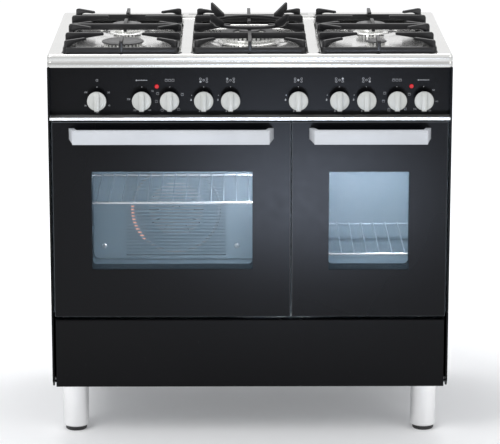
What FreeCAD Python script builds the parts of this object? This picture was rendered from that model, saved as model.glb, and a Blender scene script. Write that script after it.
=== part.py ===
import FreeCAD, Part
import math
import os
import Sketcher
from FreeCAD import Placement, Rotation, Vector

# Free-standing range cooker: five-burner gas hob over two electric ovens and a storage flap.
# X runs to the right, Y runs to the back, Z runs up. The origin is on the floor, in the middle.

doc = FreeCAD.newDocument("range_cooker")
sheet = doc.addObject("Spreadsheet::Sheet", "sizes")

# Driving sizes in millimetres. A depth is measured back from the plane of the door fronts.
lengths = {
    # whole cooker
    "hob_width": 900,
    "hob_depth": 600,
    "cabinet_depth": 575,
    "leg_height": 131.5,
    "flap_height": 158.7,
    "flap_gap": 7.7,
    "door_height": 449.5,
    "door_gap": 3.8,
    "ledge_height": 6.4,
    "fascia_height": 112.4,
    "skirt_drop": 30,
    "clearance": 0.3,
    "running_fit": 0.05,
    "overrun": 2,
    # side panels and back panel
    "side_sheet": 1.5,
    "side_hem": 4,
    "hem_depth": 25,
    "rear_flange": 15,
    "toe_notch": 14,
    "pin_seat": 3.2,
    "back_sheet": 1.2,
    "louvre_height": 4,
    "louvre_length": 160,
    "louvre_pitch": 14,
    "rear_cover_width": 420,
    "rear_cover_height": 300,
    "rear_cover_depth": 16,
    # base tray, storage box and its flap
    "tray_front_depth": 32,
    "tray_sheet": 1.5,
    "tray_lip": 14,
    "box_width": 856,
    "box_depth": 486,
    "box_height": 152,
    "box_sheet": 1.2,
    "flap_depth": 20,
    "flap_sheet": 1.5,
    "flap_edge_round": 3,
    "flap_axis_depth": 12,
    "flap_axis_height": 12,
    # legs and feet
    "leg_radius": 30,
    "leg_side_inset": 46,
    "leg_front_depth": 106,
    "leg_back_depth": 500,
    "leg_chamfer": 3,
    "foot_radius": 24.5,
    "foot_height": 9.7,
    "foot_round": 2,
    "foot_screw_radius": 6,
    "foot_screw_length": 45,
    # oven doors
    "side_gap": 4.3,
    "centre_gap": 3.2,
    "main_door_width": 532.7,
    "door_depth": 44,
    "door_glass": 5,
    "door_glass_edge": 1,
    "door_corner": 2,
    "door_panel_inset": 2,
    "door_panel_sheet": 1.5,
    "main_window_width": 362,
    "second_window_width": 181,
    "window_height": 226,
    "window_rise": 113,
    "window_corner": 10,
    "inner_glass_sheet": 4,
    "inner_glass_lap": 16,
    # door hinges
    "hinge_inset": 22,
    "hinge_axis_depth": 12,
    "hinge_axis_rise": 8.6,
    "hinge_plate": 3,
    "hinge_nose": 4.6,
    "hinge_side_gap": 1.2,
    "hinge_lug": 6,
    "hinge_lug_height": 18,
    "hinge_slot_height": 24,
    "hinge_foot_width": 14,
    "hinge_foot_height": 34,
    "hinge_foot_sheet": 2,
    "pin_radius": 3,
    # handles
    "handle_reach": 49,
    "bar_depth": 14,
    "bar_height": 31,
    "bar_bevel": 7,
    "bar_rise": 408,
    "handle_side_inset": 38,
    "handle_foot_width": 12,
    "handle_flare": 10,
    "handle_foot_height": 25,
    # oven cavities
    "seal_gap": 8,
    "liner_sheet": 1.5,
    "main_cavity_width": 410,
    "second_cavity_width": 244,
    "cavity_rise": 32,
    "cavity_height": 382,
    "cavity_depth": 400,
    "cavity_corner": 16,
    "flange_drop": 4,
    "ridge_width": 10,
    "ridge_height": 8,
    "ridge_pitch": 60.5,
    "ridge_first": 87.7,
    "ridge_front_gap": 24,
    "ridge_back_gap": 76,
    "seal_width": 10,
    "seal_offset": 6,
    "seal_corner": 22,
    # shelves
    "shelf_side_gap": 3,
    "shelf_rail_radius": 3,
    "shelf_wire_radius": 1.6,
    "shelf_front_gap": 38,
    "shelf_depth": 290,
    "shelf_mid_rail": 190,
    "wire_pitch": 29,
    # fan, baffle, motor, elements, lamps
    "baffle_depth": 60,
    "baffle_side_gap": 8,
    "baffle_rise": 3,
    "baffle_height": 232,
    "baffle_sheet": 1.2,
    "slot_zone": 240,
    "slot_height": 3.2,
    "slot_pitch": 8,
    "fan_radius": 66,
    "fan_rise": 118,
    "fan_hub_radius": 12,
    "fan_blade_height": 18,
    "fan_blade_length": 24,
    "fan_sheet": 1.5,
    "fan_bore": 4,
    "fan_stand_off": 22,
    "shaft_hole": 10,
    "motor_radius": 38,
    "motor_length": 52,
    "motor_flange_radius": 48,
    "motor_flange": 3,
    "ring_radius": 105,
    "element_radius": 3.2,
    "ring_stand_off": 30,
    "grill_drop": 18,
    "grill_length": 250,
    "grill_front_gap": 70,
    "grill_pitch": 45,
    "lamp_radius": 20,
    "lamp_dome": 14,
    "lamp_collar": 4,
    "lamp_inset": 46,
    "lamp_drop": 60,
    # control panel
    "fascia_recess": 33,
    "fascia_sheet": 2,
    "fascia_tuck": 8,
    "fascia_flange": 20,
    "ledge_sheet": 1.5,
    "ledge_return": 12,
    "ledge_back": 16,
    "knob_rise": 35.4,
    "knob_hole": 7,
    "lamp_rise": 64.4,
    "pilot_radius": 4.8,
    "pilot_proud": 2,
    "pilot_hole": 4,
    # knobs
    "knob_radius": 21.5,
    "knob_back_gap": 4.3,
    "knob_collar_radius": 14,
    "knob_disc_start": 21,
    "knob_disc": 6,
    "knob_edge": 1.2,
    "knob_grip_width": 10.8,
    "knob_grip": 5,
    "knob_grip_low": 23,
    "knob_grip_bevel": 4,
    "knob_bore_end": 18,
    "gas_shaft_radius": 4,
    "switch_shaft_radius": 3,
    # gas rail, taps and switches
    "tap_radius": 12,
    "tap_length": 56,
    "tap_bore": 32,
    "spindle_gap": 5,
    "rail_radius": 9,
    "rail_end": 24,
    "supply_side": 60,
    "inlet_radius": 10.48,
    "inlet_length": 20,
    "inlet_set_back": 2,
    "inlet_hole": 13,
    "switch_width": 34,
    "switch_height": 38,
    "switch_depth": 30,
    # hob pressing
    "hob_sheet": 1.5,
    "hob_corner": 9,
    "hob_roll": 6,
    "groove_drop": 15,
    "groove_height": 1.6,
    "groove_cut": 0.9,
    "skirt_return": 10,
    "rim_side": 33,
    "rim_front": 14,
    "strip_width": 28,
    "centre_well": 256,
    "well_length": 476,
    "well_depth": 12,
    "well_corner": 13,
    "vent_length": 640,
    "vent_width": 52,
    "vent_height": 3.5,
    "vent_back_gap": 30,
    "vent_slot_length": 38,
    "vent_slot_width": 6,
    "vent_slot_pitch": 50,
    # burners
    "front_burner_depth": 130,
    "burner_rows": 244,
    "large_cap": 47.5,
    "medium_cap": 34,
    "small_cap": 23.5,
    "wok_cap": 65,
    "wok_inner_cap": 24,
    "cap_height": 4.5,
    "cap_edge": 2,
    "head_height": 15,
    "head_inset": 4,
    "crown_slot": 2.4,
    "crown_slot_height": 6,
    "crown_slot_depth": 5,
    "cup_flange": 3,
    "cup_lap": 7,
    "cup_drop": 30,
    "cup_inset": 10,
    "cup_gap": 1,
    "igniter_radius": 2.2,
    "igniter_height": 11,
    # pan supports
    "support_gap": 1,
    "bar_width": 10,
    "frame_height": 14,
    "frame_lift": 11,
    "support_peg": 5,
    "finger_top": 40,
    "finger_thick": 7,
    "finger_tip_height": 6.5,
    "finger_tip_gap": 43,
    "finger_corner_length": 62,
    "finger_shoulder": 4,
    # wok cradle
    "cradle_inner": 80,
    "cradle_outer": 91,
    "cradle_ring": 7,
    "fin_thick": 6,
    "fin_inner": 84,
    "fin_outer": 124,
    "fin_top": 36,
    "fin_inner_top": 15,
    "fin_flare": 18,
    # terminal box
    "terminal_width": 90,
    "terminal_height": 70,
    "terminal_depth": 22,
    "terminal_side": 120,
    "terminal_rise": 70,
    "terminal_round": 4,
    "gland_radius": 9,
    "gland_bore": 5,
    "gland_length": 12,
}

# Places of the ten knobs and two lamps across the panel, as shares of half the hob's width.
gas_knob_shares = {
    "front_left": -0.229,
    "rear_left": -0.096,
    "wok": 0.240,
    "rear_right": 0.444,
    "front_right": 0.578,
}
oven_knob_shares = {
    "timer": -0.758,
    "main_temperature": -0.536,
    "main_function": -0.398,
    "second_function": 0.729,
    "second_temperature": 0.862,
}
pilot_place_shares = {"main": -0.462, "second": 0.802}


class Size:
    """A length with the sheet formula that gives it."""

    def __init__(self, value, formula):
        self.value = value
        self.formula = formula

    def join(self, other, sign, value):
        return Size(value, f"({self.formula} {sign} {other.formula})")

    def __add__(self, other):
        other = as_size(other)
        return self.join(other, "+", self.value + other.value)

    def __sub__(self, other):
        other = as_size(other)
        return self.join(other, "-", self.value - other.value)

    def __mul__(self, other):
        other = as_size(other)
        return self.join(other, "*", self.value * other.value)

    def __truediv__(self, other):
        other = as_size(other)
        return self.join(other, "/", self.value / other.value)

    def __neg__(self):
        return self * -1

    __radd__ = __add__
    __rmul__ = __mul__


def as_size(item):
    return item if isinstance(item, Size) else Size(float(item), f"({float(item)!r})")


class Named:
    """Holds the named sizes, one attribute each."""


d = Named()
for row, (name, value) in enumerate(lengths.items(), start=1):
    sheet.set(f"A{row}", name)
    sheet.set(f"B{row}", str(value))
    sheet.setAlias(f"B{row}", name)
    setattr(d, name, Size(float(value), f"sizes.{name}"))
doc.recompute()


# Helpers that bind sketches, features and primitives to the sheet

def bind(item, sizes):
    for path, size in sizes.items():
        item.setExpression(path, as_size(size).formula)


def place(item, x, y, z, rotation=None):
    if rotation is not None:
        item.Placement = Placement(Vector(), rotation)
    bind(item, {"Placement.Base.x": x, "Placement.Base.y": y, "Placement.Base.z": z})
    return item


def circle(x, y, radius):
    return ("circle", as_size(x), as_size(y), as_size(radius))


def rectangle(x_low, x_high, y_low, y_high, radius=None):
    corners = [(x_low, y_low), (x_high, y_low), (x_high, y_high), (x_low, y_high)]
    return corners if radius is None else [(x, y, radius) for x, y in corners]


def fix_value(sketch, kind, parts, size):
    """One dimension of a sketch, tied to the sheet."""
    index = sketch.addConstraint(Sketcher.Constraint(kind, *parts, size.value))
    name = f"size{index}"
    sketch.renameConstraint(index, name)
    bind(sketch, {f"Constraints.{name}": size})


def draw_circle(sketch, x, y, radius):
    centre = Vector(x.value, y.value, 0)
    index = sketch.addGeometry(Part.Circle(centre, Vector(0, 0, 1), radius.value))
    fix_value(sketch, "DistanceX", (-1, 1, index, 3), x)
    fix_value(sketch, "DistanceY", (-1, 1, index, 3), y)
    fix_value(sketch, "Radius", (index,), radius)


def corner_arc(before, corner, after, radius):
    """Arc that rounds a corner, with its two ends in walking order."""
    back = (before - corner).normalize()
    ahead = (after - corner).normalize()
    middle = (back + ahead).normalize()
    reach = radius / math.tan(back.getAngle(ahead) / 2)
    start = corner + back * reach
    end = corner + ahead * reach
    centre = corner + middle * (Vector(reach, radius, 0).Length)
    through = centre - middle * radius
    return Part.Arc(start, through, end), start, end


def round_corner(sketch, line_in, line_out, joint, spot, radius, point):
    """Adds the arc of one corner and pins the sharp point that it rounds off."""
    arc, start, end = joint
    index = sketch.addGeometry(arc)
    made = sketch.Geometry[index]
    forward = made.StartPoint.distanceToPoint(start) < made.EndPoint.distanceToPoint(start)
    first, last = (1, 2) if forward else (2, 1)
    sketch.addConstraint(Sketcher.Constraint("Tangent", line_in, 2, index, first))
    sketch.addConstraint(Sketcher.Constraint("Tangent", index, last, line_out, 1))
    fix_value(sketch, "Radius", (index,), radius)
    corner = sketch.addGeometry(Part.Point(spot), True)
    sketch.addConstraint(Sketcher.Constraint("PointOnObject", corner, 1, line_in))
    sketch.addConstraint(Sketcher.Constraint("PointOnObject", corner, 1, line_out))
    fix_value(sketch, "DistanceX", (-1, 1, corner, 1), as_size(point[0]))
    fix_value(sketch, "DistanceY", (-1, 1, corner, 1), as_size(point[1]))


def draw_outline(sketch, points):
    """Closed outline; a point may carry the radius that rounds its corner."""
    spots = [Vector(as_size(p[0]).value, as_size(p[1]).value, 0) for p in points]
    radii = [as_size(p[2]) if len(p) > 2 else None for p in points]
    count = len(points)
    arcs = []
    for k in range(count):
        if radii[k] is None:
            arcs.append((None, spots[k], spots[k]))
        else:
            arcs.append(corner_arc(spots[k - 1], spots[k], spots[(k + 1) % count], radii[k].value))
    lines = []
    for k in range(count):
        lines.append(sketch.addGeometry(Part.LineSegment(arcs[k][2], arcs[(k + 1) % count][1])))
    for k in range(count):
        line_in = lines[k - 1]
        line_out = lines[k]
        if radii[k] is None:
            sketch.addConstraint(Sketcher.Constraint("Coincident", line_in, 2, line_out, 1))
            fix_value(sketch, "DistanceX", (-1, 1, line_out, 1), as_size(points[k][0]))
            fix_value(sketch, "DistanceY", (-1, 1, line_out, 1), as_size(points[k][1]))
        else:
            round_corner(sketch, line_in, line_out, arcs[k], spots[k], radii[k], points[k])


def draw(sketch, loops):
    for loop in loops:
        if loop[0] == "circle":
            draw_circle(sketch, *loop[1:])
        else:
            draw_outline(sketch, loop)


def new_body(label):
    body = doc.addObject("PartDesign::Body", label)
    body.Label = label
    return body


def origin_part(body, role):
    return next(item for item in body.Origin.OriginFeatures if item.Role == role)


def sketch_on(body, plane, start, loops):
    sketch = body.newObject("Sketcher::SketchObject", f"{body.Name}_sketch")
    sketch.AttachmentSupport = [(origin_part(body, f"{plane}_Plane"), "")]
    sketch.MapMode = "FlatFace"
    bind(sketch, {"AttachmentOffset.Base.z": -start if plane == "XZ" else start})
    draw(sketch, loops)
    return sketch


def pad(body, plane, loops, start, length):
    """Adds material from start, along the plane's own axis, in its positive direction."""
    feature = body.newObject("PartDesign::Pad", f"{body.Name}_pad")
    feature.Profile = sketch_on(body, plane, as_size(start), loops)
    feature.Reversed = plane == "XZ"
    bind(feature, {"Length": length})
    return feature


def pocket(body, plane, loops, start, length):
    """Removes material from start, along the plane's own axis, in its positive direction."""
    doc.recompute()
    before = body.Shape.Volume
    feature = body.newObject("PartDesign::Pocket", f"{body.Name}_pocket")
    feature.Profile = sketch_on(body, plane, as_size(start), loops)
    feature.Reversed = plane != "XZ"
    bind(feature, {"Length": length})
    doc.recompute()
    if body.Shape.Volume >= before:
        raise RuntimeError(f"a pocket of {body.Label} removes nothing")
    return feature


def revolve(body, points):
    """Turns a half profile of (radius, height) points about the body's Z axis."""
    feature = body.newObject("PartDesign::Revolution", f"{body.Name}_turn")
    sketch = sketch_on(body, "XZ", as_size(0), [points])
    feature.Profile = sketch
    feature.ReferenceAxis = (sketch, ["V_Axis"])
    bind(feature, {"Angle": 360})
    return feature


def repeat_round(body, feature, count):
    pattern = body.newObject("PartDesign::PolarPattern", f"{body.Name}_ring")
    pattern.Originals = [feature]
    pattern.Axis = (origin_part(body, "Z_Axis"), [""])
    pattern.Angle = 360
    pattern.Occurrences = count
    body.Tip = pattern
    return pattern


def repeat_along(body, feature, axis, pitch, count):
    pattern = body.newObject("PartDesign::LinearPattern", f"{body.Name}_row")
    pattern.Originals = [feature]
    pattern.Direction = (origin_part(body, f"{axis}_Axis"), [""])
    bind(pattern, {"Length": pitch * (count - 1)})
    pattern.Occurrences = count
    body.Tip = pattern
    return pattern


def edges_where(shape, test):
    return [f"Edge{k}" for k, edge in enumerate(shape.Edges, start=1) if test(edge)]


tolerance = 0.01


def dress(body, kind, size, test):
    """Fillet or chamfer on the edges that pass the test."""
    doc.recompute()
    base = body.Tip
    names = edges_where(base.Shape, test)
    feature = body.newObject(f"PartDesign::{kind}", f"{body.Name}_{kind.lower()}")
    feature.Base = (base, names)
    bind(feature, {"Radius" if kind == "Fillet" else "Size": size})
    body.Tip = feature
    return feature


def upright_plate(name, points, thickness, x, y, z, turn=0):
    """Flat plate cut to an outline of (outward, up) points and stood upright, turned about Z."""
    sketch = doc.addObject("Sketcher::SketchObject", f"{name}_outline")
    draw(sketch, [points])
    stand = Rotation(Vector(0, 0, 1), turn).multiply(Rotation(Vector(1, 0, 0), 90))
    place(sketch, x, y, z, stand)
    plate = doc.addObject("Part::Extrusion", name)
    plate.Base = sketch
    plate.DirMode = "Normal"
    plate.Solid = True
    plate.Symmetric = True
    bind(plate, {"LengthFwd": thickness})
    return plate


def flat_plate(name, loops, thickness, z):
    """Flat plate of outline loops in X and Y, its underside at height z."""
    sketch = doc.addObject("Sketcher::SketchObject", f"{name}_outline")
    draw(sketch, loops)
    place(sketch, 0, 0, z)
    plate = doc.addObject("Part::Extrusion", name)
    plate.Base = sketch
    plate.DirMode = "Normal"
    plate.Solid = True
    bind(plate, {"LengthFwd": thickness})
    return plate


along_x = Rotation(Vector(0, 1, 0), 90)
along_y = Rotation(Vector(1, 0, 0), -90)
facing_front = Rotation(Vector(1, 0, 0), 90)
upward = Rotation()


def cylinder(name, radius, length, x, y, z, rotation=upward):
    rod = doc.addObject("Part::Cylinder", name)
    bind(rod, {"Radius": radius, "Height": length})
    return place(rod, x, y, z, rotation)


def fuse(label, pieces):
    union = doc.addObject("Part::MultiFuse", label)
    union.Shapes = pieces
    union.Label = label
    return union


def cut(label, base, tool):
    result = doc.addObject("Part::Cut", label)
    result.Base = base
    result.Tool = tool
    result.Label = label
    return result


def group(label, pieces):
    """Several loose pieces kept in one node."""
    whole = doc.addObject("Part::Compound", label)
    whole.Links = pieces
    whole.Label = label
    return whole


nodes = {}


def keep(label, item):
    nodes[label] = item
    return item


# Heights, depths and widths that several pieces share

def deep(depth):
    """Y of a place that lies this far behind the plane of the door fronts."""
    return front_y + depth


front_y = (d.handle_reach - d.hob_depth) / 2
body_bottom = d.leg_height
flap_top = body_bottom + d.flap_height
door_bottom = flap_top + d.flap_gap
door_top = door_bottom + d.door_height
ledge_bottom = door_top + d.door_gap
ledge_top = ledge_bottom + d.ledge_height
skirt_bottom = ledge_top + d.fascia_height
rim_top = skirt_bottom + d.skirt_drop
well_floor = rim_top - d.well_depth

half_width = d.hob_width / 2
hem_inner = half_width - d.side_hem
sheet_inner = half_width - d.side_sheet
door_edge = hem_inner - d.side_gap
cabinet_back = deep(d.cabinet_depth)
back_front = cabinet_back - d.side_sheet - d.back_sheet

main_left = -door_edge
main_right = main_left + d.main_door_width
second_left = main_right + d.centre_gap
second_right = door_edge
middle_seam = (main_right + second_left) / 2
main_centre = (main_left + main_right) / 2
second_centre = (second_left + second_right) / 2

flange_front = d.door_depth + d.seal_gap
cavity_floor = door_bottom + d.cavity_rise
cavity_top = cavity_floor + d.cavity_height
cavity_back = flange_front + d.cavity_depth
knob_z = ledge_top + d.knob_rise
fascia_back = d.fascia_recess + d.fascia_sheet
hinge_y = deep(d.hinge_axis_depth)
hinge_z = door_bottom + d.hinge_axis_rise
flap_axis_y = deep(d.flap_axis_depth)
flap_axis_z = body_bottom + d.flap_axis_height


# Cabinet

def side_panel(label, side):
    outer = side * half_width
    hem = side * hem_inner
    skin = side * sheet_inner
    flange = side * (half_width - d.rear_flange)
    body = new_body(label)
    section = [
        (outer, deep(0)),
        (hem, deep(0)),
        (hem, deep(d.hem_depth)),
        (skin, deep(d.hem_depth)),
        (skin, cabinet_back - d.side_sheet),
        (flange, cabinet_back - d.side_sheet),
        (flange, cabinet_back),
        (outer, cabinet_back),
    ]
    pad(body, "XY", [section], body_bottom, skirt_bottom - body_bottom)
    notch = [
        (deep(0) - d.overrun, body_bottom - d.overrun),
        (deep(0) + d.toe_notch + d.overrun, body_bottom - d.overrun),
        (deep(0) - d.overrun, body_bottom + d.toe_notch + d.overrun),
    ]
    hem_middle = side * (half_width - d.side_hem / 2)
    pocket(body, "YZ", [notch], hem_middle - d.side_hem / 2 - d.overrun, d.side_hem + d.overrun * 2)
    seat_middle = side * (hem_inner + (d.pin_seat - d.overrun) / 2)
    seat_length = d.pin_seat + d.overrun
    pin_hole = circle(flap_axis_y, flap_axis_z, d.pin_radius + d.running_fit)
    pocket(body, "YZ", [pin_hole], seat_middle - seat_length / 2, seat_length)
    return keep(label, body)


def back_panel():
    body = new_body("back_panel")
    outline = rectangle(-sheet_inner, sheet_inner, body_bottom, skirt_bottom)
    inlet = circle(supply_x, knob_z, d.inlet_hole)
    pad(body, "XZ", [outline, inlet], back_front, d.back_sheet)
    cover_low = cavity_floor + d.fan_rise - d.rear_cover_height / 2
    cover_high = cover_low + d.rear_cover_height
    cover_left = main_centre - d.rear_cover_width / 2
    cover_right = main_centre + d.rear_cover_width / 2
    cover = rectangle(cover_left, cover_right, cover_low, cover_high, d.rear_flange)
    pad(body, "XZ", [cover], back_front, d.back_sheet + d.rear_cover_depth)
    hollow = rectangle(cover_left + d.back_sheet, cover_right - d.back_sheet,
                       cover_low + d.back_sheet, cover_high - d.back_sheet, d.rear_flange - d.back_sheet)
    pocket(body, "XZ", [hollow], back_front - d.overrun, d.rear_cover_depth + d.overrun)
    slot_low = cover_low + d.louvre_pitch * 2
    slot = rectangle(main_centre - d.louvre_length / 2, main_centre + d.louvre_length / 2,
                     slot_low, slot_low + d.louvre_height)
    louvre = pocket(body, "XZ", [slot], back_front, d.rear_cover_depth + d.back_sheet + d.overrun)
    repeat_along(body, louvre, "Z", d.louvre_pitch, louvre_count)
    return keep("back_panel", body)


louvre_count = 8


def base_tray():
    body = new_body("base_tray")
    front = deep(d.tray_front_depth)
    outline = rectangle(-sheet_inner, sheet_inner, front, back_front)
    pad(body, "XY", [outline], body_bottom, d.tray_lip)
    hollow = rectangle(-sheet_inner + d.tray_sheet, sheet_inner - d.tray_sheet,
                       front + d.tray_sheet, back_front - d.tray_sheet)
    pocket(body, "XY", [hollow], body_bottom + d.tray_sheet, d.tray_lip + d.overrun)
    return keep("base_tray", body)


def storage_box():
    body = new_body("storage_box")
    front = deep(d.tray_front_depth + d.tray_sheet + d.clearance)
    low = body_bottom + d.tray_sheet
    half_box = d.box_width / 2
    outer = rectangle(-half_box, half_box, low, low + d.box_height)
    pad(body, "XZ", [outer], front, d.box_depth)
    inner = rectangle(-half_box + d.box_sheet, half_box - d.box_sheet,
                      low + d.box_sheet, low + d.box_height - d.box_sheet)
    pocket(body, "XZ", [inner], front - d.overrun, d.box_depth - d.box_sheet + d.overrun)
    return keep("storage_box", body)


def storage_flap():
    body = new_body("storage_flap")
    outline = rectangle(-door_edge, door_edge, body_bottom, flap_top)
    pad(body, "XZ", [outline], deep(0), d.flap_depth)
    front = deep(0).value
    dress(body, "Fillet", d.flap_edge_round,
          lambda edge: edge.BoundBox.YMax - front < tolerance)
    hollow = rectangle(-door_edge + d.flap_sheet, door_edge - d.flap_sheet,
                       body_bottom + d.flap_sheet, flap_top - d.flap_sheet)
    pocket(body, "XZ", [hollow], deep(d.flap_sheet * 2), d.flap_depth)
    reach = d.side_gap + d.pin_seat - d.clearance
    for side in (-1, 1):
        middle = side * (door_edge + (reach - d.flap_sheet) / 2)
        length = reach + d.flap_sheet
        pin = circle(flap_axis_y, flap_axis_z, d.pin_radius)
        pad(body, "YZ", [pin], middle - length / 2, length)
    return keep("storage_flap", body)


leg_places = {
    "front_left": (-1, d.leg_front_depth),
    "front_right": (1, d.leg_front_depth),
    "back_left": (-1, d.leg_back_depth),
    "back_right": (1, d.leg_back_depth),
}


def leg(name, x, y):
    """Round sleeve with a screw bore, open at the bottom."""
    body = new_body(f"leg_{name}")
    low = d.foot_height + d.clearance
    bore = d.foot_screw_radius + d.running_fit
    revolve(body, [
        (bore, low),
        (d.leg_radius - d.leg_chamfer, low),
        (d.leg_radius, low + d.leg_chamfer),
        (d.leg_radius, body_bottom),
        (0, body_bottom),
        (0, low + d.foot_screw_length + d.clearance),
        (bore, low + d.foot_screw_length + d.clearance),
    ])
    return place(body, x, y, 0)


def foot(name, x, y):
    body = new_body(f"foot_{name}")
    revolve(body, [
        (0, 0),
        (d.foot_radius - d.foot_round, 0),
        (d.foot_radius, d.foot_round),
        (d.foot_radius, d.foot_height),
        (d.foot_screw_radius, d.foot_height),
        (d.foot_screw_radius, d.foot_height + d.foot_screw_length),
        (0, d.foot_height + d.foot_screw_length),
    ])
    return keep(f"foot_{name}", place(body, x, y, 0))


def legs_and_feet():
    sleeves = []
    for name, (side, depth) in leg_places.items():
        x = side * (half_width - d.leg_side_inset)
        sleeves.append(leg(name, x, deep(depth)))
        foot(name, x, deep(depth))
    keep("legs", group("legs", sleeves))


# Ovens

def oven_liner(label, flange_left, flange_right, centre, width, fan):
    body = new_body(label)
    left = centre - width / 2
    right = centre + width / 2
    low = cavity_floor
    high = cavity_top
    skin = d.liner_sheet
    mouth = rectangle(left, right, low, high, d.cavity_corner)
    shell = rectangle(left - skin, right + skin, low - skin, high + skin, d.cavity_corner + skin)
    flange = rectangle(flange_left, flange_right, door_bottom - d.flange_drop, ledge_top - d.ledge_sheet)
    pad(body, "XZ", [flange, mouth], deep(flange_front), skin)
    pad(body, "XZ", [shell, mouth], deep(flange_front), d.cavity_depth)
    back = [shell, circle(centre, cavity_floor + d.fan_rise, d.shaft_hole)] if fan else [shell]
    pad(body, "XZ", back, deep(cavity_back), skin)
    ridges = []
    for level in range(ridge_levels):
        z = low + d.ridge_first + d.ridge_pitch * level
        for wall, inward in ((left, 1), (right, -1)):
            ridges.append([
                (wall - inward * skin / 2, z - d.ridge_height),
                (wall + inward * d.ridge_width, z - d.ridge_height / 2),
                (wall + inward * d.ridge_width, z),
                (wall - inward * skin / 2, z),
            ])
    ridge_start = deep(flange_front + d.ridge_front_gap)
    pad(body, "XZ", ridges, ridge_start, d.cavity_depth - d.ridge_front_gap - d.ridge_back_gap)
    return keep(label, body)


ridge_levels = 5


def door_seal(name, centre, width):
    body = new_body(f"seal_{name}")
    reach = width / 2 + d.seal_offset
    low = cavity_floor - d.seal_offset
    high = cavity_top + d.seal_offset
    inner = rectangle(centre - reach, centre + reach, low, high, d.seal_corner)
    outer = rectangle(centre - reach - d.seal_width, centre + reach + d.seal_width,
                      low - d.seal_width, high + d.seal_width, d.seal_corner + d.seal_width)
    start = deep(d.door_depth + d.clearance)
    pad(body, "XZ", [outer, inner], start, d.seal_gap - d.clearance)
    return body


def hinge_bracket(name, x):
    """Plate that stands out of the oven flange and carries the pivot pin of a door."""
    body = new_body(f"hinge_{name}")
    nose = d.hinge_nose
    back = deep(flange_front)
    arm = [
        (hinge_y - nose, hinge_z - nose, nose * nose_round_share),
        (back, hinge_z - nose),
        (back, hinge_z + nose * 2),
        (back - nose * 2, hinge_z + nose),
        (hinge_y - nose, hinge_z + nose, nose * nose_round_share),
    ]
    pad(body, "YZ", [arm], x - d.hinge_plate / 2, d.hinge_plate)
    foot_low = hinge_z - nose
    base = rectangle(x - d.hinge_foot_width / 2, x + d.hinge_foot_width / 2,
                     foot_low, foot_low + d.hinge_foot_height)
    pad(body, "XZ", [base], back - d.hinge_foot_sheet, d.hinge_foot_sheet)
    reach = d.hinge_plate / 2 + d.hinge_side_gap + d.hinge_lug
    pad(body, "YZ", [circle(hinge_y, hinge_z, d.pin_radius)], x - reach, reach * 2)
    return body


nose_round_share = 0.95


def hinge_places(left, right):
    return (left + d.hinge_inset, right - d.hinge_inset)


def shelf(label, centre, width, z):
    """Wire shelf: a welded frame with wires laid across it from front to back."""
    rail = d.shelf_rail_radius
    half = width / 2 - d.shelf_side_gap - rail
    front = deep(flange_front + d.shelf_front_gap)
    pieces = []
    for side in (-1, 1):
        pieces.append(cylinder(f"{label}_side", rail, d.shelf_depth + rail * 2,
                               centre + side * half, front - rail, z, along_y))
    for y in (front, front + d.shelf_mid_rail, front + d.shelf_depth):
        pieces.append(cylinder(f"{label}_rail", rail, half * 2, centre - half, y, z, along_x))
    count = int((half * 2 / d.wire_pitch).value)
    first = centre - d.wire_pitch * (count - 1) / 2
    lift = rail - d.shelf_wire_radius / 2
    for k in range(count):
        x = first + d.wire_pitch * k
        pieces.append(cylinder(f"{label}_wire", d.shelf_wire_radius, d.shelf_depth + rail,
                               x, front - rail / 2, z + lift, along_y))
    return keep(label, fuse(label, pieces))


def fan_baffle():
    body = new_body("fan_baffle")
    half = d.main_cavity_width / 2 - d.baffle_side_gap
    low = cavity_floor + d.baffle_rise
    high = low + d.baffle_height
    front = deep(cavity_back - d.baffle_depth)
    outer = rectangle(main_centre - half, main_centre + half, low, high, d.cavity_corner)
    pad(body, "XZ", [outer], front, d.baffle_depth)
    skin = d.baffle_sheet
    hollow = rectangle(main_centre - half + skin, main_centre + half - skin, low + skin, high - skin,
                       d.cavity_corner - skin)
    pocket(body, "XZ", [hollow], front + skin, d.baffle_depth)
    slot_low = low + d.slot_pitch
    slot = rectangle(main_centre - d.slot_zone / 2, main_centre + d.slot_zone / 2,
                     slot_low, slot_low + d.slot_height)
    first = pocket(body, "XZ", [slot], front - d.overrun, skin + d.overrun * 2)
    repeat_along(body, first, "Z", d.slot_pitch, baffle_slots)
    return keep("fan_baffle", body)


baffle_slots = 26
fan_z = cavity_floor + d.fan_rise
fan_blades = 12


def oven_fan():
    """Radial fan; its own Z axis points to the front."""
    body = new_body("oven_fan")
    low = 0
    revolve(body, [
        (d.fan_bore + d.running_fit, low),
        (d.fan_radius, low),
        (d.fan_radius, d.fan_sheet),
        (d.fan_hub_radius, d.fan_sheet),
        (d.fan_hub_radius, d.fan_blade_height),
        (d.fan_bore + d.running_fit, d.fan_blade_height),
    ])
    half = d.fan_sheet / 2
    blade = rectangle(d.fan_radius - d.fan_blade_length, d.fan_radius, -half, half)
    first = pad(body, "XY", [blade], 0, d.fan_blade_height)
    repeat_round(body, first, fan_blades)
    place(body, main_centre, deep(cavity_back - d.fan_stand_off), fan_z, facing_front)
    return keep("oven_fan", body)


def fan_motor():
    """Motor behind the liner; its own Z axis points to the front."""
    body = new_body("fan_motor")
    nose = d.liner_sheet + d.fan_stand_off + d.fan_blade_height
    revolve(body, [
        (0, -d.motor_length),
        (d.motor_radius, -d.motor_length),
        (d.motor_radius, -d.motor_flange),
        (d.motor_flange_radius, -d.motor_flange),
        (d.motor_flange_radius, 0),
        (d.fan_bore, 0),
        (d.fan_bore, nose),
        (0, nose),
    ])
    place(body, main_centre, deep(cavity_back + d.liner_sheet), fan_z, facing_front)
    return keep("fan_motor", body)


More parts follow.
